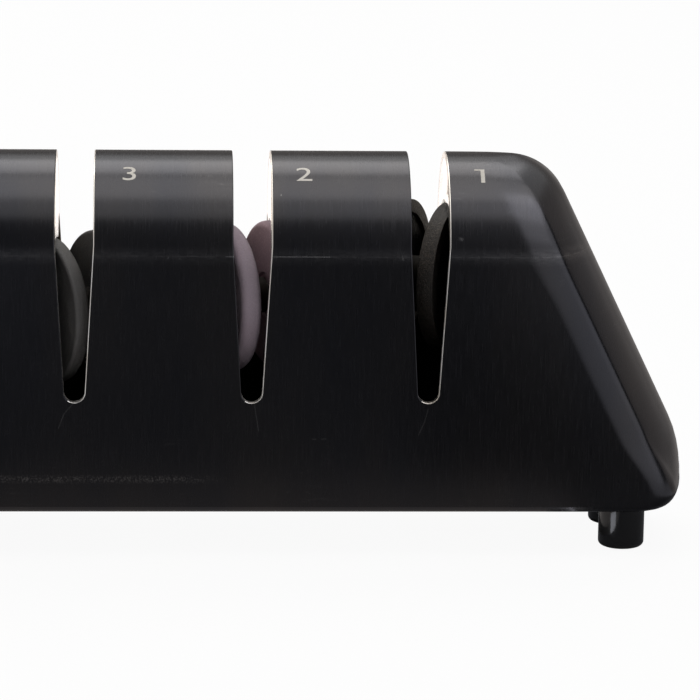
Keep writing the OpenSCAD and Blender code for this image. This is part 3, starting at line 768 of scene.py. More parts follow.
@dataclass
class HeadShell:
    """Metal shell of the head: arched, with a sloped and blended end and three slots. Millimetres."""

    finishes: Finishes
    lift: float = LIFT
    depth: float = 26.0
    height: float = 49.0
    wall: float = 0.9
    lip: float = 1.2
    bottom_edge: float = 1.0
    tail: float = 31.5
    tip: float = 155.1
    lean: float = 25.9
    crown_blend: float = 9.4
    toe_blend: float = 20.4
    toe_edge: float = 3.0
    toe_height: float = 7.75
    bulge: float = 37.0
    corner: float = 4.5
    slot_top: float = 5.3
    slot_bottom: float = 2.9
    slot_floor: float = 15.9
    taper_start: float = 38.0
    slot_margin: float = 0.9
    slot_rise: float = 1.2
    slots: tuple[float, float, float] = SLOT_XS
    button_x: float = BUTTON_X
    pocket: float = 2.4
    chamfer: float = 0.13
    cheek: float = 0.7
    cheek_gap: float = 0.02
    cheek_drop: float = 0.4
    wheel_room: float = 10.8
    ridge_reach: float = 9.0
    ridge_reach_top: float = 9.8
    ridge_pull: float = 0.2
    ridge_start: tuple[float, float] = (2.0, 11.0)
    ridge_widening: tuple[float, float] = (29.0, 37.0)
    ridge_pulling: tuple[float, float] = (29.0, 42.0)
    last_column: float = 121.6
    column_gap: float = 0.6
    ridge_turns: tuple[tuple[float, float, int], ...] = (
        (0.12, 10.0, 3), (0.36, 17.0, 3), (0.44, 26.0, 3), (0.495, 43.0, 5), (0.66, 50.0, 2),
        (0.79, 57.0, 2), (0.89, 66.0, 2), (0.957, 75.0, 2), (0.989, 82.0, 2), (1.0, 88.0, 1),
    )
    levels: tuple[float, ...] = (
        4.6, 6.4, 8.2, 10.0, 11.8, 13.6, 15.2, 19.2, 21.2, 23.4, 25.6, 27.8, 30.0, 32.2, 34.0, 35.6,
    )
    digit_shifts: tuple[float, float, float] = (6.8, 7.2, 7.6)
    digit_size: float = 3.9
    digit_stretch: float = 1.3
    digit_angle: float = 57.6
    ink: float = 0.02
    ink_lift: float = 0.012

    @property
    def arch(self) -> float:
        """Radius of the arch."""
        return self.depth / 2

    @property
    def spring(self) -> float:
        """Height of the arch's centre above the head's underside."""
        return self.height - self.arch

    def nose(self, z: float, t: float) -> float:
        """Returns the reach of the sloped end at height z on a surface inset by t, from the tip."""
        lean = math.radians(self.lean)
        toe_low = self.toe_height - self.toe_blend * math.tan(lean / 2)
        crown_low = self.height - self.crown_blend
        crown_x = -(self.height - self.toe_height) * math.tan(lean)
        crown_x -= self.crown_blend * math.tan((math.pi / 2 - lean) / 2)
        if z < self.toe_edge:
            return -self.toe_edge + math.sqrt(max(0.0, (self.toe_edge - t) ** 2 - (self.toe_edge - z) ** 2))
        if z < toe_low:
            return -t
        if z < toe_low + (self.toe_blend - t) * math.sin(lean):
            return -self.toe_blend + math.sqrt((self.toe_blend - t) ** 2 - (z - toe_low) ** 2)
        if z < crown_low + (self.crown_blend - t) * math.sin(lean):
            return -(z - self.toe_height) * math.tan(lean) - t / math.cos(lean)
        return crown_x + math.sqrt(max(0.0, (self.crown_blend - t) ** 2 - (z - crown_low) ** 2))

    def half_depth(self, z: float, t: float) -> float:
        """Returns half the head's depth at height z on a surface inset by t."""
        if z > self.spring:
            return math.sqrt(max(0.0, (self.arch - t) ** 2 - (z - self.spring) ** 2))
        edge = self.bottom_edge
        if z < edge and t < edge:
            return self.arch - edge + math.sqrt(max(0.0, (edge - t) ** 2 - (edge - z) ** 2))
        return self.arch - t

    def corner_radius(self, z: float, t: float) -> float:
        """Returns the radius of the upright corner at height z, which grows into the arch."""
        share = self.eased(z, self.spring - 4, self.height - 3)
        return min(0.92 * self.half_depth(z, t), self.corner + (self.arch - self.corner) * share - t)

    def ridge(self) -> list[tuple[float, float]]:
        """Returns the blended end's outline from side face to tip, as shares of its reach and half depth.

        It turns slowly across a nearly flat band, fast at the ridge, and then round the nose.

        Returns:
            Share of the reach and share of the half depth for each point.
        """
        points, turned = [(0.0, 0.0)], 0.0
        for share, angle, steps in self.ridge_turns:
            start, first = points[-1][0], turned
            for i in range(1, steps + 1):
                turned = first + (angle - first) * i / steps
                x = start + (share - start) * i / steps
                slope = math.tan(math.radians(turned - (angle - first) / steps / 2))
                points.append((x, points[-1][1] + (x - points[-1][0]) * self.ridge_reach / self.arch * slope))
        return points + [(1.0, 1.0)]

    @staticmethod
    def eased(value: float, low: float, high: float) -> float:
        """Returns a soft step from 0 at low to 1 at high."""
        share = min(1.0, max(0.0, (value - low) / (high - low)))
        return share * share * (3 - 2 * share)

    def outline(self, z: float, t: float, columns: Sequence[float]) -> list[Point]:
        """Returns the head's outline from above at height z.

        Args:
            z: Height above the head's underside.
            t: Inset of the surface.
            columns: Places along X of the points on the straight sides, from the tail on.

        Returns:
            Points from the tail along the rear side, round the end and back along the front.
        """
        half = self.half_depth(z, t)
        small = self.corner_radius(z, t)
        big = self.bulge - t
        big_x = self.tip + self.nose(z, t) - big
        small_y = half - small
        small_x = big_x + math.sqrt((big - small) ** 2 - small_y ** 2)
        turn = math.asin(small_y / (big - small))
        quarter = [(x, half) for x in columns]
        for i in range(15):
            a = math.pi / 2 - (math.pi / 2 - turn) * i / 14
            quarter.append((small_x + small * math.cos(a), small_y + small * math.sin(a)))
        for i in range(1, 13):
            a = turn * (1 - i / 12)
            quarter.append((big_x + big * math.cos(a), big * math.sin(a)))
        share = self.eased(z, *self.ridge_start)
        wider = (self.ridge_reach_top - self.ridge_reach) * self.eased(z, *self.ridge_widening)
        room = self.tip + self.nose(z, 0) - self.last_column - self.column_gap
        reach = min(self.ridge_reach + wider, room)
        reach -= self.nose(z, 0) - self.nose(z, t)
        start = self.tip + self.nose(z, t) - reach
        pull = 1 - self.ridge_pull * self.eased(z, *self.ridge_pulling)
        for i, (along, across) in enumerate(self.ridge(), len(columns)):
            x, y = quarter[i]
            along = along ** pull
            quarter[i] = (x + (start + reach * along - x) * share, y + (half * (1 - across) - y) * share)
        ring = quarter + [(x, -y) for x, y in reversed(quarter[:-1])]
        return [(x, y, z + self.lift) for x, y in ring]

    def heights(self, low: float, t: float) -> list[float]:
        """Returns the loft's heights, which keep off the round bottoms of the slots."""
        levels = [low + (self.toe_edge - low) * (1 - math.cos(math.pi / 2 * i / 8)) for i in range(9)]
        levels += [*self.levels, self.spring]
        levels += [self.spring + (self.arch - t) * math.sin(math.radians(89.4 * i / 36)) for i in range(1, 37)]
        return levels

    def loft(self, name: str, t: float, low: float, tail: float) -> Piece:
        """Skins the stack of outlines. The blended end has no primitive, so its points come from its radii.

        Args:
            name: Name of the piece.
            t: Inset of the surface.
            low: Lowest height.
            tail: Place of its back end along X.

        Returns:
            The form as a closed solid.
        """
        columns = [tail, 45.0, 58.0, 81.2, 105.8, self.last_column]
        rings = [self.outline(z, t, columns) for z in self.heights(low, t)]
        count = len(rings[0])
        faces: list[Sequence[int]] = [list(range(count)), [len(rings) * count - 1 - j for j in range(count)]]
        for i in range(len(rings) - 1):
            for j in range(count):
                k = (j + 1) % count
                faces.append([i * count + j, (i + 1) * count + j, (i + 1) * count + k, i * count + k])
        piece = Bench.skin(name, [point for ring in rings for point in ring], faces)
        with Bench.editing(piece):
            Bench.face_out()
        return piece

    def slot_tool(self, x: float) -> Piece:
        """Returns the body that cuts one slot: straight through the arch, tapered to a round bottom."""
        end = self.slot_bottom / 2
        end_z = self.slot_floor + end
        half = self.slot_top / 2
        drop = self.taper_start - end_z
        tilt = math.atan(half / drop) - math.asin(end / math.hypot(half, drop))
        top = self.height + 1
        points = [(-half, top), (-half, self.taper_start)]
        sweep = math.pi - 2 * tilt
        for i in range(25):
            a = math.pi + tilt + sweep * i / 24
            points.append((end * math.cos(a), end_z + end * math.sin(a)))
        points += [(half, self.taper_start), (half, top)]
        outline = [(x + px, -self.arch - 1, self.lift + pz) for px, pz in points]
        return Bench.prism("slot_tool", outline, (0, self.depth + 2, 0))

    def build(self) -> None:
        """Makes the shell, eases the slots' edges to bare metal, paints the left edges back to the black coat as
        shade, and puts it on the head.
        """
        shell = self.loft("head_casing", 0, 0, self.tail)
        inside = self.loft("inside", self.wall, self.wall, self.tail - 1)
        rim = self.outline(self.toe_edge, self.wall + self.lip, [self.tail - 1, self.last_column])
        mouth = [(x + self.wall - self.toe_edge, y, self.lift - 1) for x, y, _ in rim]
        opening = Bench.prism("opening", mouth, (0, 0, self.wall + 2))
        cuts = [self.slot_tool(x) for x in self.slots]
        middle = (self.button_x, 0, self.lift + self.spring + self.height / 2)
        cuts.append(Bench.rod("pocket", self.pocket, self.height, middle))
        shell.data.materials.append(self.finishes.shell)
        inside.data.materials.append(self.finishes.inner)
        opening.data.materials.append(self.finishes.shell)
        for cut in cuts:
            cut.data.materials.append(self.finishes.bare_edge)
        Bench.shape(shell, [inside, opening, *cuts])
        with Bench.editing(shell):
            bare = shell.data.materials.find("bare_cut_edge")
            Bench.bevel(shell, self.is_slot_edge, self.chamfer, 2, bare)
            # The left edges' facets are painted black again as shade, since light catches only the right edges and
            # the bottoms.
            Bench.pick(shell, Part.FACES, lambda face: face.material_index == bare and self.is_coated(face))
            shell.active_material_index = 0
            bpy.ops.object.material_slot_assign()
        Bench.smooth(shell, 16)
        Bench.dress(shell, self.finishes.shell, "head", "shell_metal", "head_shell")
        self.cheeks()
        self.digits()

    def is_slot_edge(self, edge: bmesh.types.BMEdge) -> bool:
        """Says whether an edge is where a slot meets the outer surface."""
        kinds = {face.material_index for face in edge.link_faces}
        if len(kinds) < 2:
            return False
        return all(
            abs(vert.co.y) / MM > self.half_depth(vert.co.z / MM - self.lift, self.wall / 2) for vert in edge.verts
        ) and all(vert.co.x / MM > 50 for vert in edge.verts)

    def is_coated(self, face: bmesh.types.BMFace) -> bool:
        """Says whether a facet of a slot's edge is painted back to the black coat as shade: the left edge and the
        left half of the round bottom above its lowest part, so that only the right edges and bottoms show bright
        metal.
        """
        middle = face.calc_center_median() / MM
        if abs(middle.y) < self.half_depth(middle.z - self.lift, 1.3 * self.chamfer):
            return False
        slot = min(self.slots, key=lambda x: abs(x - middle.x))
        lowest = self.lift + self.slot_floor + self.slot_rise
        return middle.x < slot - self.slot_margin or (middle.x < slot and middle.z > lowest)

    def cheeks(self) -> None:
        """Lines each slot under the arch with two thin steel plates, cut clear of the wheels."""
        wheels = WheelPairs(self.finishes)
        spring = self.lift + self.spring
        radius = self.arch - self.wall - self.cheek_gap
        for stage, x in enumerate(self.slots, 1):
            for side, word in SIDES:
                name = f"slot_cheek_{stage}_{word}"
                start = x + side * (self.slot_top + self.cheek) / 2 - self.cheek / 2
                plate = Bench.arch_bar(name, start, self.cheek, radius, spring - self.cheek_drop, spring)
                turn = (0, 90, wheels.skews[stage - 1])
                Bench.shape(plate, [Bench.rod("wheel_room", self.wheel_room, 30, wheels.centre(stage), turn)])
                Bench.ease(plate, 0.08, 50)
                Bench.smooth(plate, 30)
                Bench.dress(plate, self.finishes.cheek, "head", "bright_steel")

    def numeral_one(self) -> Piece:
        """Draws a plain 1, a stem with a short flag, as a flat outline around the origin."""
        outline = ((-0.5, 1.08), (0.36, 1.08), (0.36, -1.36), (0.92, -1.36), (0.92, 1.36), (-0.5, 1.36))
        return Bench.skin("numeral", [(x, y, 0) for x, y in outline], [range(len(outline))])

    def numeral(self, number: int) -> Piece:
        """Returns a numeral as a flat mesh around the origin."""
        if number == 1:
            return self.numeral_one()
        bpy.ops.object.select_all(action="DESELECT")
        bpy.ops.object.text_add()
        text = bpy.context.object
        text.data.body = str(number)
        text.data.align_x = "CENTER"
        text.data.align_y = "CENTER"
        text.data.size = self.digit_size * MM
        text.data.resolution_u = 8
        bpy.ops.object.convert(target="MESH")
        bpy.context.object.scale.x = self.digit_stretch
        return bpy.context.object

    def digits(self) -> None:
        """Lays the stage numbers on the arch beside the slots."""
        for number, shift in enumerate(self.digit_shifts, 1):
            digit = Bench.settle(self.numeral(number), f"digit_{number}")
            with Bench.editing(digit):
                bpy.ops.mesh.select_all(action="SELECT")
                bpy.ops.mesh.remove_doubles(threshold=1e-6)
                for step in range(-8, 9):
                    bpy.ops.mesh.select_all(action="SELECT")
                    bpy.ops.mesh.bisect(plane_co=(0, step * 0.2 * MM, 0), plane_no=(0, 1, 0), threshold=1e-7)
            for vert in digit.data.vertices:
                angle = math.radians(self.digit_angle) + vert.co.y / (self.arch * MM)
                radius = (self.arch + self.ink_lift) * MM
                vert.co = (
                    self.slots[number - 1] * MM + shift * MM + vert.co.x,
                    -radius * math.cos(angle),
                    (self.lift + self.spring) * MM + radius * math.sin(angle),
                )
            Bench.take(digit)
            sheet = digit.modifiers.new("ink", "SOLIDIFY")
            sheet.thickness = self.ink * MM
            sheet.offset = 0
            bpy.ops.object.modifier_apply(modifier=sheet.name)
            Bench.smooth(digit, 30)
            Bench.dress(digit, self.finishes.digit, "head", "bright_steel")


@dataclass
class WheelPairs:
    """The three pairs of crossed grinding wheels. Millimetres."""

    finishes: Finishes
    radius: float = 10.4
    bore: float = 1.55
    lift: float = LIFT
    slots: tuple[float, float, float] = SLOT_XS
    skews: tuple[float, float, float] = (-24.0, 20.0, 30.0)
    thicknesses: tuple[float, float, float] = (2.4, 3.0, 2.2)
    heights: tuple[float, float, float] = (31.6, 28.4, 26.8)
    crossings: tuple[float, float, float] = (1.85, 1.6, 2.3)
    rims: tuple[float, float, float] = (0.12, 1.0, 0.5)

    def centre(self, stage: int) -> Point:
        """Returns the middle of a stage's axle."""
        return (self.slots[stage - 1], 0.0, self.lift + self.heights[stage - 1])

    def finish(self, stage: int, side: int) -> bpy.types.Material:
        """Returns the grinding surface of a stage; the two coarse stones get different tints as painted light, the
        left as if lit bluish and the right as if in brownish shade.
        """
        word = "left" if side < 0 else "right"
        if stage == 1:
            return Stone(
                f"diamond_rim_{word}", self.centre(1), (0.008, 0.006, 0.0045), (0.04, 0.031, 0.023),
                (0.012, 0.0095, 0.007), (9.6, 10.7), 5200, 0.03, 0.5, 0.6, 8.5,
            ).material()
        if stage == 2:
            # The coarse stones' tints are painted light: the right one pinker as if in brownish shade, the left
            # lilac as if lit bluish.
            colour, grit = ((0.36, 0.25, 0.28), (0.42, 0.30, 0.33))
            if side < 0:
                colour, grit = ((0.31, 0.26, 0.305), (0.36, 0.30, 0.35))
            return Stone(
                f"coarse_stone_{word}", self.centre(2), colour, grit, (0.26, 0.20, 0.24),
                (10.0, 11.4), 4200, 0.02, 0.75,
            ).material()
        return Stone(
            f"fine_stone_{word}", self.centre(3), (0.092, 0.088, 0.086), (0.125, 0.12, 0.117),
            (0.066, 0.063, 0.061), (10.0, 11.0), 6400, 0.02, 0.65,
        ).material()

    def profile(self, stage: int) -> list[tuple[float, float]]:
        """Returns the steps of a wheel's face, as radius and depth from the outside in."""
        if stage == 1:
            return [(8.6, 0.0), (8.35, 0.4), (3.25, 0.4), (3.0, 0.0), (1.85, 0.0), (self.bore, 0.25)]
        return [(3.2, 0.0), (3.0, 0.25), (1.85, 0.25), (self.bore, 0.45)]

    def wheel(self, stage: int, side: int, name: str) -> Piece:
        """Models one wheel: rim rounded, faces stepped in, bore bridged through.

        Args:
            stage: Number of the stage.
            side: -1 for the left wheel, 1 for the right one.
            name: Name of the piece.

        Returns:
            The wheel on its axle.
        """
        thick = self.thicknesses[stage - 1]
        edge = self.rims[stage - 1]
        piece = Bench.rod(name, self.radius, thick, (0, 0, 0), sides=160)
        with Bench.editing(piece):
            coating = 1 if stage == 1 else -1
            Bench.bevel(piece, lambda e: abs(e.verts[0].co.z - e.verts[1].co.z) < 1e-7, edge, 6, coating)
            reach = self.radius - edge
            Bench.pick(piece, Part.FACES, lambda f: len(f.verts) > MANY_SIDED)
            last = 0.0
            for radius, depth in self.profile(stage):
                Bench.inset(reach - radius, depth - last, True)
                reach, last = radius, depth
            Bench.bridge(piece)
        skew = math.radians(self.skews[stage - 1])
        across = (self.radius * math.sin(abs(skew)) - self.crossings[stage - 1]) / math.cos(skew) + thick / 2
        piece.matrix_world = (
            Matrix.Translation([value * MM for value in self.centre(stage)])
            @ Matrix.Rotation(skew, 4, "Z")
            @ Matrix.Rotation(math.pi / 2, 4, "Y")
            @ Matrix.Translation((0, 0, side * across * MM))
        )
        Bench.settle(piece, name)
        Bench.smooth(piece, 32)
        return piece

    def build(self) -> None:
        """Makes and dresses the six wheels."""
        slots = {1: "diamond_wheel", 2: "coarse_ceramic", 3: "fine_ceramic"}
        for stage in STAGES:
            for side, word in SIDES:
                wheel = self.wheel(stage, side, f"grinding_wheel_{stage}_{word}")
                wheel.data.materials.append(self.finish(stage, side))
                if stage == 1:
                    wheel.data.materials.append(self.finishes.bare_edge)
                body, node = f"stage_{stage}_{word}", f"wheel_{stage}_{word}"
                Bench.dress(wheel, self.finishes.steel, body, slots[stage], node)


@dataclass
class HeadInside:
    """Wheel carriers, feet and screws of the head. Millimetres."""

    finishes: Finishes
    foot_x: float = 146.4
    foot_y: float = 6.5
    foot_radius: float = 3.25
    foot_height: float = LIFT
    foot_edge: float = 0.7
    sole_rim: float = 0.5
    sole_dish: float = 0.25
    stud_step: float = 1.25
    stud: float = 3.2
    plate_low: float = 7.2
    screw_y: float = 6.0
    screw_xs: tuple[float, float, float] = SLOT_XS
    screw_radius: float = 1.65
    screw_head: float = 0.85
    screw_edge: float = 0.3
    shank_step: float = 0.8
    shank: float = 2.6
    screw_gap: float = 0.1
    recess_arm: float = 1.05
    recess_half: float = 0.22
    recess: float = 0.55
    tail_screw_x: float = 37.5
    guard_half: float = 11.5
    guard_low: float = 9.8
    guard_ys: tuple[float, float] = (10.4, 11.6)
    guard_tops: tuple[float, float, float] = (32.4, 29.5, 27.5)

    def foot(self, side: int, name: str) -> Piece:
        """Models one foot: round edge, dished sole, and the stud that fixes it."""
        middle = (self.foot_x, side * self.foot_y, self.foot_height / 2)
        piece = Bench.rod(name, self.foot_radius, self.foot_height, middle)
        with Bench.editing(piece):
            Bench.bevel(piece, lambda e: max(v.co.z for v in e.verts) < 1e-6, self.foot_edge, 6)
            Bench.pick(piece, Part.FACES, lambda f: len(f.verts) > MANY_SIDED and f.normal.z < -0.9)
            Bench.inset(self.sole_rim)
            Bench.inset(self.sole_dish, self.sole_dish)
            Bench.pick(piece, Part.FACES, lambda f: len(f.verts) > MANY_SIDED and f.normal.z > 0.9)
            Bench.inset(self.stud_step)
            Bench.pull((0, 0, self.stud))
        Bench.smooth(piece, 35)
        return piece

    def screw(self, name: str) -> Piece:
        """Models one countersunk screw with a cross recess, head down, at the origin."""
        piece = Bench.rod(name, self.screw_radius, self.screw_head, (0, 0, self.screw_head / 2), sides=40)
        with Bench.editing(piece):
            Bench.bevel(piece, lambda e: max(v.co.z for v in e.verts) < 1e-6, self.screw_edge, 4)
            Bench.pick(piece, Part.FACES, lambda f: len(f.verts) > MANY_SIDED and f.normal.z > 0.9)
            Bench.inset(self.shank_step)
            Bench.pull((0, 0, self.shank))
        long, half = self.recess_arm, self.recess_half
        arms = [
            Bench.block("arm", (-x, -y, -0.5), (x, y, self.recess)) for x, y in ((long, half), (half, long))
        ]
        Bench.shape(piece, arms)
        Bench.smooth(piece, 35)
        return piece

    def build_carrier(self, stage: int) -> None:
        """Makes one wheel carrier, joined to a near-black sheet behind its wheels that is painted shade for the
        dark inside of the head.
        """
        x, (near, far) = self.screw_xs[stage - 1], self.guard_ys
        carrier = Bench.copy_of(f"cartridge_{stage}", f"wheel_carrier_{stage}")
        high = (x + self.guard_half, far, self.guard_tops[stage - 1])
        # A near-black sheet behind the wheels stands in for the shade inside the head.
        guard = Bench.block("guard", (x - self.guard_half, near, self.guard_low), high)
        carrier.data.materials.append(self.finishes.carrier)
        guard.data.materials.append(self.finishes.guard)
        Bench.shape(carrier, [guard], Cut.JOIN)
        Bench.ease(carrier, 0.15, 50)
        Bench.smooth(carrier, 35)
        Bench.dress(carrier, self.finishes.carrier, "head", "cartridge_plastic", f"cartridge_{stage}")

    def build_screws(self) -> None:
        """Makes the screws, all from one pattern."""
        pattern = self.screw("screw_pattern")
        places = [(f"carrier_screw_{stage}", x, "cartridge_screws") for stage, x in zip(STAGES, self.screw_xs)]
        places.append(("tail_screw", self.tail_screw_x, "tail_screws"))
        low = self.plate_low + self.screw_gap
        for name, x, node in places:
            for side, word in ENDS:
                screw = Bench.place(f"{name}_{word}", pattern.data.copy())
                screw.data.transform(Matrix.Translation((x * MM, side * self.screw_y * MM, low * MM)))
                Bench.dress(screw, self.finishes.steel, "head", "bright_steel", node)
        bpy.data.objects.remove(pattern, do_unlink=True)

    def build(self) -> None:
        """Makes and dresses the pieces, each on the head."""
        for side, word in ENDS:
            foot = self.foot(side, f"round_foot_{word}")
            Bench.dress(foot, self.finishes.foot, "head", "foot", f"foot_{word}")
        for stage in STAGES:
            self.build_carrier(stage)
        self.build_screws()


@dataclass
class Sleeve:
    """The sleeve that serves as handle, with its cap, pad, button and collar. Millimetres."""

    finishes: Finishes
    mouth: float = 55.5
    radius: float = 16.5
    bore: float = 13.3
    low: float = 0.8
    floor: float = 6.0
    spring: float = 42.3
    cap: float = 3.0
    button_x: float = BUTTON_X
    button: float = 4.2
    button_top: float = 66.2
    button_low: float = 61.1
    button_dish: tuple[tuple[float, float], ...] = (
        (0.3, 0.0), (0.35, 0.12), (0.5, 0.16), (0.6, 0.13), (0.6, 0.08), (0.5, 0.03),
    )
    flange: float = 1.1
    flange_top: float = 62.1
    stem_step: float = 2.4
    stem_low: float = 55.9
    collar: float = 5.58
    collar_width: float = 0.98
    collar_height: float = 2.0
    turret: float = 7.6
    turret_top: float = 64.2
    well: float = 5.6
    well_floor: float = 57.6
    stem: float = 1.88
    spring_keep: float = 0.42
    stop_x: float = 49.5
    stop: float = 1.2
    pad_rim: float = 3.0
    grooves: int = 5
    groove_pitch: float = 4.5
    groove_length: float = 74.0
    groove: float = 1.0
    foot_round: float = 1.2
    pad: float = 1.6
    treads: int = 13
    tread_pitch: float = 8.0
    tread: tuple[float, float, float] = (0.6, 10.5, 0.4)
    cap_round: float = 2.4
    plug_step: float = 3.3
    plug_rise: float = 2.0
    plug: float = 2.2

    def grip_tools(self) -> list[Piece]:
        """Returns round-ended bars that cut the grip grooves."""
        tools = []
        middle_z = (self.low + self.spring) / 2
        for side in (-1, 1):
            for row in range(self.grooves):
                z = middle_z + (row - (self.grooves - 1) / 2) * self.groove_pitch
                middle = (0, side * (self.radius + self.groove / 2), z)
                tool = Bench.rod("grip_tool", self.groove, self.groove_length, middle, (0, 90, 0), 32)
                rounding = 0.98 * self.groove
                with Bench.editing(tool):
                    Bench.bevel(tool, lambda e: abs(e.verts[0].co.x - e.verts[1].co.x) < 1e-7, rounding, 6)
                tools.append(tool)
        return tools

    def is_long_foot_edge(self, edge: bmesh.types.BMEdge) -> bool:
        """Says whether an edge runs along the sleeve at its underside."""
        low = max(vert.co.z for vert in edge.verts) < (self.low + 0.01) * MM
        return low and abs(edge.verts[0].co.y - edge.verts[1].co.y) < 1e-6

    def build_shell(self) -> None:
        """Makes the sleeve itself."""
        back = -self.mouth + self.cap
        sleeve = Bench.arch_bar("sleeve_body", back, self.mouth - back, self.radius, self.low, self.spring)
        with Bench.editing(sleeve):
            Bench.bevel(sleeve, self.is_long_foot_edge, self.foot_round, 5)
        middle = (self.button_x, 0, (self.turret_top + self.spring) / 2)
        turret = Bench.rod("turret", self.turret, self.turret_top - self.spring, middle)
        Bench.shape(sleeve, [turret], Cut.JOIN)
        tools = [
            Bench.arch_bar("bore", -self.mouth - 2, 2 * self.mouth + 4, self.bore, self.floor, self.spring),
            Bench.rod("well", self.well, 20, (self.button_x, 0, self.well_floor + 10)),
            Bench.rod("stem_hole", self.stem, 20, (self.button_x, 0, self.spring + 10), sides=48),
            Bench.rod("pin_hole", self.stop + 0.02, 20, (self.stop_x, 0, 0), sides=48),
            self.pad_body("pad_room", self.pad_rim, 3.0, -1.0, self.pad),
        ]
        Bench.shape(sleeve, tools + self.grip_tools())
        Bench.ease(sleeve, 0.3, 42, 3)
        Bench.smooth(sleeve, 32)
        Bench.dress(sleeve, self.finishes.sleeve, "sleeve", "sleeve_plastic", "sleeve_shell")

    def pad_body(self, name: str, rim: float, corner: float, low: float, high: float) -> Piece:
        """Returns a plate with round corners that lies inside the sleeve's rim."""
        half_x, half_y = self.mouth - rim, self.radius - rim
        piece = Bench.block(name, (-half_x, -half_y, low), (half_x, half_y, high))
        with Bench.editing(piece):
            Bench.bevel(piece, lambda e: abs(e.verts[0].co.z - e.verts[1].co.z) > 1e-5, corner, 10)
        return piece

    def build_pad(self) -> None:
        """Makes the rubber pad, with cross grooves in its sole."""
        pad = self.pad_body("rubber_pad", self.pad_rim + 0.1, 2.9, 0.0, self.pad)
        half_x, half_y, top = self.tread
        tools = []
        for i in range(self.treads):
            x = (i - (self.treads - 1) / 2) * self.tread_pitch
            tools.append(Bench.block("tread", (x - half_x, -half_y, -0.5), (x + half_x, half_y, top)))
        Bench.shape(pad, tools)
        Bench.ease(pad, 0.2, 40, 2)
        Bench.smooth(pad, 32)
        Bench.dress(pad, self.finishes.rubber, "sleeve", "pad_rubber", "base_pad")

    def is_plug_foot(self, vert: bmesh.types.BMVert) -> bool:
        """Says whether a point is at the lower edge of the cap's inset inner face."""
        inner = vert.co.x > (self.cap - self.mouth - 0.01) * MM
        return inner and (self.low + 1) * MM < vert.co.z < 5 * MM

    def build_cap(self) -> None:
        """Makes the end cap: rounded plate outside, plug inside the sleeve."""
        cap = Bench.arch_bar("end_cap", -self.mouth, self.cap, self.radius, self.low, self.spring)
        outer = (-self.mouth + 0.01) * MM
        with Bench.editing(cap):
            Bench.bevel(cap, lambda e: max(v.co.x for v in e.verts) < outer, self.cap_round, 8)
            Bench.pick(cap, Part.FACES, lambda f: f.normal.x > 0.99)
            Bench.inset(self.plug_step)
            Bench.pick(cap, Part.VERTS, self.is_plug_foot)
            bpy.ops.transform.translate(value=(0, 0, self.plug_rise * MM))
            Bench.pick(cap, Part.FACES, lambda f: len(f.verts) > MANY_SIDED and f.normal.x > 0.99)
            Bench.pull((self.plug, 0, 0))
        Bench.smooth(cap, 32)
        Bench.dress(cap, self.finishes.sleeve, "sleeve", "sleeve_plastic", "sleeve_cap")

    def build_button(self) -> None:
        """Makes the lock button with its dished top, flange and stem."""
        high, low = self.button_top, self.button_low
        button = Bench.rod("push_button", self.button, high - low, (self.button_x, 0, (high + low) / 2))
        with Bench.editing(button):
            Bench.bevel(button, lambda e: min(v.co.z for v in e.verts) > (high - 0.1) * MM, 0.8, 6)
            Bench.pick(button, Part.FACES, lambda f: len(f.verts) > MANY_SIDED and f.normal.z > 0.9)
            for width, sink in self.button_dish:
                Bench.inset(width, sink)
            Bench.pick(button, Part.FACES, lambda f: len(f.verts) > MANY_SIDED and f.normal.z < -0.9)
            Bench.inset(self.stem_step)
            Bench.pull((0, 0, self.stem_low - low))
            Bench.pick(
                button, Part.FACES,
                lambda f: abs(f.normal.z) < 0.1 and min(v.co.z for v in f.verts) < (low + 0.1) * MM
                and max(v.co.z for v in f.verts) > self.turret_top * MM,
            )
            bpy.ops.mesh.bisect(plane_co=(0, 0, self.flange_top * MM), plane_no=(0, 0, 1), threshold=1e-6)
            Bench.pick(
                button, Part.FACES,
                lambda f: abs(f.normal.z) < 0.1 and max(v.co.z for v in f.verts) < (self.flange_top + 0.1) * MM
                and min(v.co.z for v in f.verts) > (low - 0.1) * MM,
            )
            bpy.ops.mesh.extrude_region_shrink_fatten(TRANSFORM_OT_shrink_fatten={"value": self.flange * MM})
        Bench.smooth(button, 32)
        Bench.dress(button, self.finishes.button, "button", "button_plastic", "lock_button")

    def build_collar(self) -> None:
        """Makes the collar that keeps the button in."""
        middle = (self.button_x, 0, self.turret_top - self.collar_height / 2)
        collar = Bench.rod("keeper_ring", self.collar, self.collar_height, middle)
        top, bore = (self.turret_top - 0.1) * MM, (self.collar - self.collar_width + 0.1) * MM
        with Bench.editing(collar):
            Bench.bevel(collar, lambda e: min(v.co.z for v in e.verts) > top, 0.25, 3)
            Bench.pick(collar, Part.FACES, lambda f: len(f.verts) > MANY_SIDED)
            Bench.inset(self.collar_width, each=True)
            Bench.pick(
                collar, Part.VERTS, lambda v: math.hypot(v.co.x - self.button_x * MM, v.co.y) < bore
            )
            Bench.bridge(collar)
        Bench.smooth(collar, 32)
        Bench.dress(collar, self.finishes.button, "sleeve", "button_plastic", "button_collar")

    def build_spring(self) -> None:
        """Makes the lock spring, with a mesh of its own; it keeps one length, though the real spring gets shorter
        as the button goes down.
        """
        spring = Bench.copy_of("lock_spring", "coil_spring")
        Bench.smooth(spring, 50)
        Bench.dress(spring, self.finishes.steel, "sleeve", "bright_steel", "lock_spring")
        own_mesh(spring)

    def build(self) -> None:
        """Makes every piece of the sleeve."""
        self.build_shell()
        self.build_cap()
        self.build_pad()
        self.build_button()
        self.build_collar()
        self.build_spring()


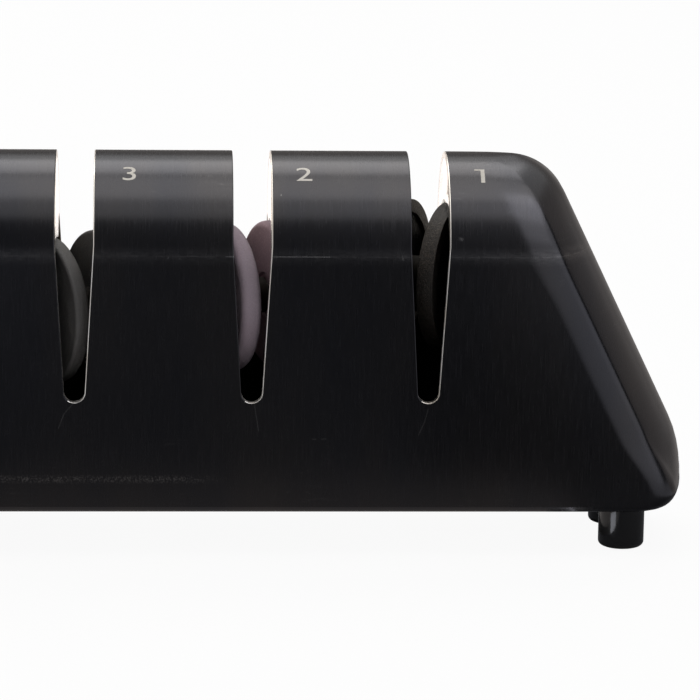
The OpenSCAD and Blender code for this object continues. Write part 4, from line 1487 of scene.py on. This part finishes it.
@dataclass
class Studio:
    """Floor, lamps, world and camera."""

    eye: Point = (81.1, -525.88, 147.58)
    yaw: float = 2.9
    pitch: float = 12.921
    roll: float = 0.791
    focal: float = 3800.0
    photo_width: float = 700.0
    floor_glow: float = 0.94
    air_glow: float = 0.27

    def camera(self) -> None:
        """Sets the camera to the photograph's view."""
        data = bpy.data.cameras.new("photo_camera")
        data.sensor_fit = "HORIZONTAL"
        data.sensor_width = 36.0
        data.lens = self.focal * data.sensor_width / self.photo_width
        data.clip_end = 50.0
        yaw, pitch, roll = (math.radians(value) for value in (self.yaw, self.pitch, self.roll))
        forward = Vector((math.sin(yaw) * math.cos(pitch), math.cos(yaw) * math.cos(pitch), -math.sin(pitch)))
        right = Vector((math.cos(yaw), -math.sin(yaw), 0))
        up = right.cross(forward)
        turned_right = math.cos(roll) * right + math.sin(roll) * up
        turned_up = -math.sin(roll) * right + math.cos(roll) * up
        camera = bpy.data.objects.new("photo_camera", data)
        turn = Matrix((turned_right, turned_up, -forward)).transposed().to_4x4()
        camera.matrix_world = Matrix.Translation([value * MM for value in self.eye]) @ turn
        bpy.context.collection.objects.link(camera)
        bpy.context.scene.camera = camera

    def card(self, name: str, low: Point, high: Point, glow: float, tint: Colour = (0.9, 0.92, 1.0)) -> None:
        """Stands up one dim card that only shows in what shines.

        Args:
            name: Name of the card.
            low: Lowest corner in metres.
            high: Highest corner in metres.
            glow: Its brightness, where 1 is white.
            tint: Its colour.
        """
        middle = [(a + b) / 2 for a, b in zip(low, high)]
        bpy.ops.object.select_all(action="DESELECT")
        bpy.ops.mesh.primitive_cube_add(size=1, location=middle)
        card = bpy.context.object
        card.scale = [b - a for a, b in zip(low, high)]
        Bench.settle(card, name)
        material, weave, _ = Weave.start(name)
        weave.close(weave.add("ShaderNodeEmission", {"Color": (*tint, 1.0), "Strength": glow}))
        card.data.materials.append(material)
        card.visible_camera = False
        card.visible_diffuse = False
        card.visible_shadow = False
        card.visible_transmission = False

    def cards(self) -> None:
        """Rings the head with cards, so that the black metal mirrors a dim room instead of white air."""
        warm = (1.0, 0.93, 0.9)
        low, high = 0.0006, 0.0010
        self.card("front_floor_card", (0.03, -1.4, low), (0.12, -0.05, high), 0.13)
        self.card("end_floor_card", (0.12, -1.4, low), (0.168, -0.05, high), 0.05)
        self.card("left_floor_card", (-0.9, -1.4, low), (0.03, -0.02, high), 0.75)
        self.card("rim_card", (0.03, -0.024, low), (0.136, 0.006, high), 0.52, warm)
        self.card("near_floor_card", (0.03, -0.05, low), (0.1415, -0.024, high), 0.3, warm)
        self.card("foot_left_card", (0.1393, -0.0180, 0.0), (0.1394, -0.0120, 0.0034), 3.4)
        self.card("foot_front_card", (0.1415, -0.05, low), (0.168, 0.03, high), 0.12)
        self.card("right_front_floor_card", (0.168, -1.4, low), (1.6, -0.002, high), 0.64)
        self.card("right_floor_card", (0.168, -0.002, low), (1.6, 1.38, high), 0.34, warm)
        self.card("rear_floor_card", (-0.4, 0.1, low), (0.168, 1.38, high), 1.3, warm)
        self.card("front_card", (-1.2, -1.42, 0.0), (0.5, -1.41, 1.25), 0.13)
        self.card("right_front_card", (0.5, -1.42, 0.0), (1.6, -1.41, 0.6), 0.95)
        self.card("right_front_high_card", (0.5, -1.42, 0.6), (1.6, -1.41, 1.6), 1.7)
        self.card("corner_card", (0.4, -1.4, 1.6), (1.6, -0.25, 1.61), 3.2)
        self.card("right_ridge_card", (1.6, -1.41, 0.0), (1.61, -0.62, 1.6), 1.2)
        self.card("right_dark_card", (1.6, -0.62, 0.0), (1.61, 0.0, 1.6), 0.08)
        self.card("right_card", (1.6, 0.0, 0.0), (1.61, 1.4, 1.6), 0.55, warm)
        self.card("rear_right_card", (0.45, 1.4, 0.0), (1.6, 1.41, 1.2), 0.35, warm)
        self.card("rear_card", (-1.6, 1.4, 0.0), (0.45, 1.41, 0.9), 0.2, warm)

    def lamp(
        self, name: str, place: Point, aim: Point, size: tuple[float, float], power: float, colour: Colour
    ) -> None:
        """Adds one soft rectangular lamp, in metres and watts."""
        data = bpy.data.lights.new(name, "AREA")
        data.shape = "RECTANGLE"
        data.size, data.size_y = size
        data.energy = power
        data.color = colour
        lamp = bpy.data.objects.new(name, data)
        lamp.location = place
        lamp.rotation_euler = (Vector(aim) - Vector(place)).to_track_quat("-Z", "Y").to_euler()
        bpy.context.collection.objects.link(lamp)

    def floor(self) -> None:
        """Adds the pale floor."""
        bpy.ops.object.select_all(action="DESELECT")
        bpy.ops.mesh.primitive_plane_add(size=8.0, location=(0, 0, 0))
        floor = Bench.settle(bpy.context.object, "floor")
        material, weave, place = Weave.start("pale_floor")
        tone = weave.blend(weave.noise(place, 12, 2), (0.93, 0.93, 0.93), (0.95, 0.95, 0.95))
        pale = {"Base Color": tone, "Roughness": 0.9, "Specular IOR Level": 0.1}
        shader = weave.add("ShaderNodeBsdfPrincipled", pale)
        seen = weave.add("ShaderNodeLightPath").outputs["Is Camera Ray"]
        white = weave.add("ShaderNodeEmission", {"Color": (1, 1, 1, 1), "Strength": 1.0})
        share = weave.maths("MULTIPLY", seen, self.floor_glow)
        weave.close(weave.add("ShaderNodeMixShader", {0: share, 1: shader.outputs[0], 2: white.outputs[0]}))
        floor.data.materials.append(material)

    def world(self) -> None:
        """Lights the air softly and shows white to camera, glossy and transmission rays."""
        world = bpy.data.worlds.new("studio_air")
        world.use_nodes = True
        bpy.context.scene.world = world
        weave = Weave(world.node_tree)
        path = weave.add("ShaderNodeLightPath")
        seen = weave.maths("MAXIMUM", path.outputs["Is Camera Ray"], path.outputs["Is Glossy Ray"])
        seen = weave.maths("MAXIMUM", seen, path.outputs["Is Transmission Ray"])
        soft = weave.add("ShaderNodeBackground", {"Color": (1, 1, 1, 1), "Strength": self.air_glow})
        white = weave.add("ShaderNodeBackground", {"Color": (1, 1, 1, 1), "Strength": 1.0})
        mix = weave.add("ShaderNodeMixShader", {0: seen, 1: soft.outputs[0], 2: white.outputs[0]})
        weave.close(mix, "ShaderNodeOutputWorld")

    def build(self) -> None:
        """Sets up the whole studio."""
        bpy.context.scene.view_settings.view_transform = "Standard"
        self.camera()
        self.floor()
        self.world()
        self.cards()
        self.lamp("rear_softbox", (-0.05, 0.50, 0.92), (-0.05, 0, 0.03), (1.0, 0.50), 4.6, (1.0, 0.99, 0.98))
        self.lamp("top_softbox", (0.1, -0.12, 1.05), (0.1, 0, 0.03), (1.2, 0.6), 3.3, (1.0, 0.99, 0.98))
        self.lamp("left_softbox", (-0.9, -0.25, 0.6), (0.08, 0, 0.03), (0.6, 0.6), 1.0, (1.0, 0.99, 0.97))


def dress_kept_nodes(finishes: Finishes) -> None:
    """Gives a finish to each CAD node that is shown as it is."""
    kept = {
        "head_base": finishes.base,
        "tail_block": finishes.base,
        "stop_pin": finishes.steel,
    }
    for stage in STAGES:
        # Axles and spacers take the near-black steel as painted shade.
        kept[f"axle_{stage}"] = finishes.dark_steel
        kept[f"spacer_{stage}"] = finishes.dark_steel
    for name, material in kept.items():
        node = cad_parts[name]
        for slot in node.material_slots:
            slot.link = "OBJECT"
            slot.material = material
        if not node.material_slots:
            node.data.materials.append(material)
        log.info("%s: dressed", name)


def main() -> None:
    """Builds the studio and the sharpener."""
    logging.basicConfig(level=logging.INFO, format="%(message)s")
    Studio().build()
    finishes = Finishes()
    HeadShell(finishes).build()
    WheelPairs(finishes).build()
    HeadInside(finishes).build()
    Sleeve(finishes).build()
    dress_kept_nodes(finishes)


if __name__ == "__main__":
    main()
